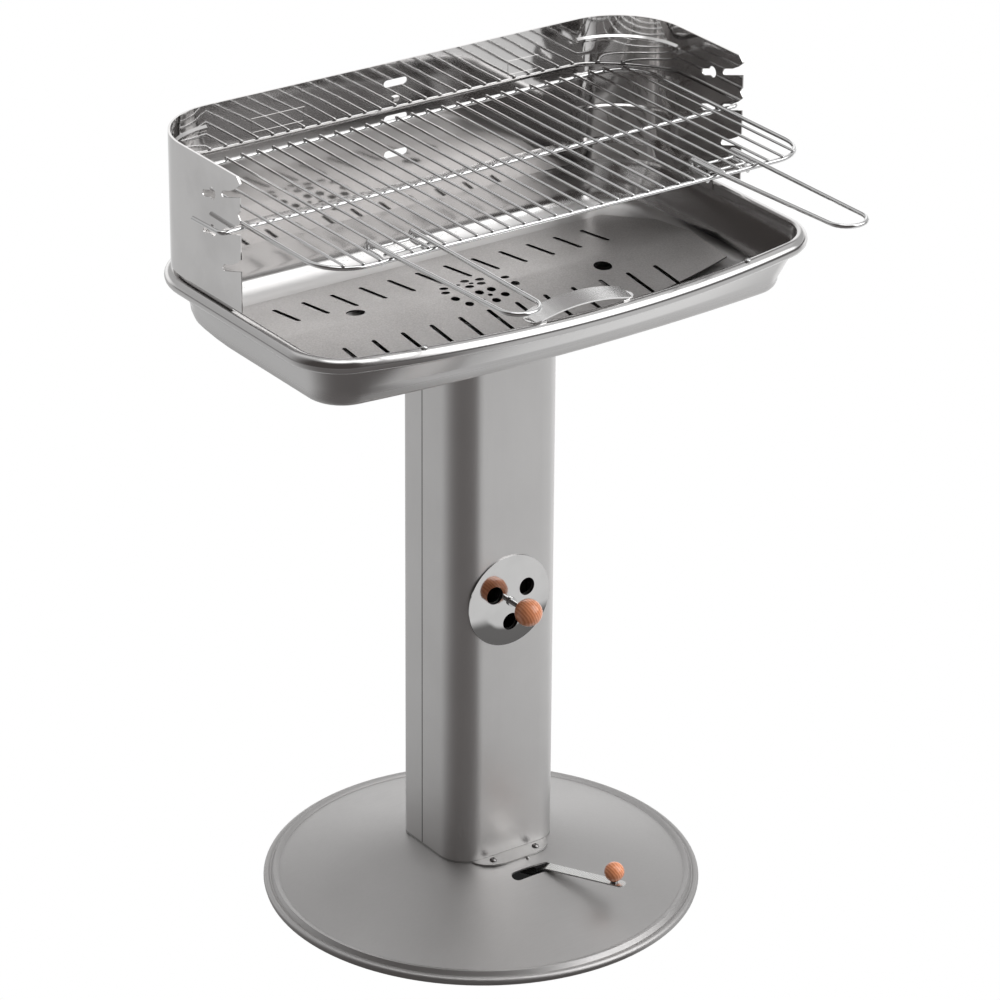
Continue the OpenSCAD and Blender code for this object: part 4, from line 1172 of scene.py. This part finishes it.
@dataclass(frozen=True)
class Glow:
    """A bright or dark patch of the room, by its compass direction and height in degrees."""
    azimuth: float
    half_width: float
    soft: float
    colour: Triple
    low: float = 0.0
    high: float = 0.0
    lean: float = 0.07
    tiny: float = 1e-6

    def mask(self, x: Sock, y: Sock, z: Optional[Sock] = None) -> Sock:
        """Shades the patch.

        Args:
            x: direction or place along X.
            y: direction or place along Y.
            z: height part of a unit direction, left out for the floor.

        Returns:
            1 in the patch, 0 outside.
        """
        turn = math.radians(self.azimuth)
        flat = (x * x + y * y + self.tiny) ** 0.5
        facing = (x * math.sin(turn) - y * math.cos(turn)) / flat
        edge_in = math.cos(math.radians(max(self.half_width - self.soft, 0.0)))
        edge_out = math.cos(math.radians(min(self.half_width + self.soft, 180.0)))
        side = facing.span(edge_out, edge_in)
        if z is None:
            return side
        low, high = math.sin(math.radians(self.low)), math.sin(math.radians(self.high))
        above = z.span(low - self.lean, low + self.lean)
        below = z.span(high - self.lean, high + self.lean, 1.0, 0.0)
        return side * above * below


@dataclass(frozen=True)
class Studio:
    """Bright room with soft boxes, dark on the side of the camera, seen only in reflections.

    A pair whose name ends in from is where a change starts and ends: on the floor a distance
    from its middle, in the room the height part of a direction.
    """
    lamps: tuple[Lamp, ...]
    sky: tuple[Glow, ...]
    ground: tuple[Glow, ...]
    backdrop: Glow
    wall: Triple = (0.6, 0.6, 0.6)
    zenith: Triple = (2.2, 2.2, 2.2)
    zenith_from: Pair = (0.92, 0.985)
    earth: Triple = (0.6, 0.6, 0.6)
    earth_swing: float = 1.04
    earth_cloud: Noise = Noise(2.0)
    earth_span: Pair = (0.3, 0.7)
    far: Triple = (0.22, 0.215, 0.215)
    far_from: Pair = (2.5, 6.0)
    shade: float = 0.2
    shade_from: Pair = (0.2, 0.8)
    shade_radius: float = 0.226
    shade_glow: float = 0.015
    floor_size: float = 40.0
    floor_z: float = -0.0005

    def build(self) -> None:
        """Adds world, floor and lamps."""
        for lamp in self.lamps:
            lamp.build()
        self._world()
        self._floor()
        bpy.context.scene.view_settings.view_transform = "Standard"

    def _world(self) -> None:
        """Makes the room that mirrors show and the white that the camera sees."""
        world = bpy.data.worlds.new("room")
        bpy.context.scene.world = world
        world.use_nodes = True
        graph = Graph(world.node_tree)
        x, y, z = graph.node("ShaderNodeTexCoord", {}, "Generated").parts()
        colour = graph.blend(z.span(*self.zenith_from), self.wall, self.zenith)
        for patch in self.sky:
            colour = graph.blend(patch.mask(x, y, z), colour, patch.colour)
        camera = graph.node("ShaderNodeLightPath", {}, "Is Camera Ray")
        room = graph.node("ShaderNodeBackground", {"Color": colour, "Strength": 1.0})
        white = graph.node("ShaderNodeBackground", {"Color": (*WHITE, 1.0), "Strength": 1.0})
        mixed = graph.node("ShaderNodeMixShader", {0: camera, 1: room, 2: white})
        graph.raw("ShaderNodeOutputWorld", {0: mixed})

    def _floor(self) -> None:
        """Lays the floor, which the camera sees white, with patches and the part's shade."""
        bpy.ops.mesh.primitive_plane_add(size=self.floor_size, location=(0, 0, self.floor_z))
        floor = bpy.context.object
        floor.name = "floor"
        made = bpy.data.materials.new("floor")
        made.use_nodes = True
        graph = Graph(made.node_tree)
        x, y, _ = graph.place().parts()
        cloud = graph.noise(graph.place(), self.earth_cloud).span(*self.earth_span)
        colour = graph.blend(cloud, self.earth, tuple(c * self.earth_swing for c in self.earth))
        for patch in self.ground:
            colour = graph.blend(patch.mask(x, y), colour, patch.colour)
        away = (x * x + y * y) ** 0.5
        far = graph.blend(self.backdrop.mask(x, y), self.far, self.backdrop.colour)
        colour = graph.blend(away.span(*self.far_from), colour, far)
        colour = graph.blend(away.span(*self.shade_from, self.shade, 0.0), colour, BLACK)
        camera = graph.node("ShaderNodeLightPath", {}, "Is Camera Ray")
        seen = graph.blend(camera, colour, WHITE)
        # Under the foot the floor hardly glows, so that no light comes up through the slot.
        open_air = (x * x + y * y) > self.shade_radius ** 2
        strength = open_air * (1.0 - self.shade_glow) + self.shade_glow
        glow = graph.node("ShaderNodeEmission", {"Color": seen, "Strength": strength})
        graph.raw("ShaderNodeOutputMaterial", {0: glow})
        floor.data.materials.append(made)


STUDIO = Studio(
    # Name, place, aim, size, power.
    lamps=(
        Lamp("top_soft", (-0.5, 0.3, 3.4), (0, 0, 0.7), (2.4, 2.4), 45.0),
        Lamp("right_soft", (2.6, -2.2, 2.2), (0, 0, 0.5), (1.2, 1.8), 25.0),
    ),
    # Direction, half width and soft edge in degrees, colour, lower and upper height in degrees.
    sky=(
        Glow(145.0, 60.0, 14.0, grey(1.3), low=-8.0, high=10.0),
        Glow(140.0, 75.0, 20.0, grey(0.85), low=39.0, high=70.0),
        Glow(-50.0, 70.0, 30.0, (0.085, 0.076, 0.073), low=-90.0, high=62.0),
        Glow(50.0, 60.0, 12.0, (0.13, 0.125, 0.125), low=-8.0, high=8.0),
        Glow(42.0, 28.0, 8.0, grey(2.6), low=13.0, high=80.0),
        Glow(146.0, 12.0, 7.0, grey(1.25), low=9.0, high=29.0),
        Glow(150.0, 32.0, 10.0, (0.26, 0.25, 0.25), low=33.0, high=50.0),
    ),
    ground=(
        Glow(-36.0, 62.0, 42.0, (0.17, 0.16, 0.158)),
        Glow(96.0, 82.0, 10.0, grey(0.76)),
        Glow(116.0, 26.0, 10.0, grey(1.0)),
    ),
    backdrop=Glow(145.0, 60.0, 14.0, grey(1.25)),
)


def main() -> None:
    """Dresses the part, builds the pieces of the scene, and sets camera and light."""
    logging.basicConfig(level=logging.INFO)
    wardrobe = Wardrobe(FINISHES, WEAR)
    wardrobe.dress(frame["nodes"])
    for assembly in (Bowl(), GridTrim()):
        pieces = assembly.build()
        assembly.dress(pieces, wardrobe)
        for piece in pieces:
            log.info("%s: %d faces", piece.name, len(piece.data.polygons))
    Lens().build()
    STUDIO.build()
    write_bounds()


if __name__ == "__main__":
    main()
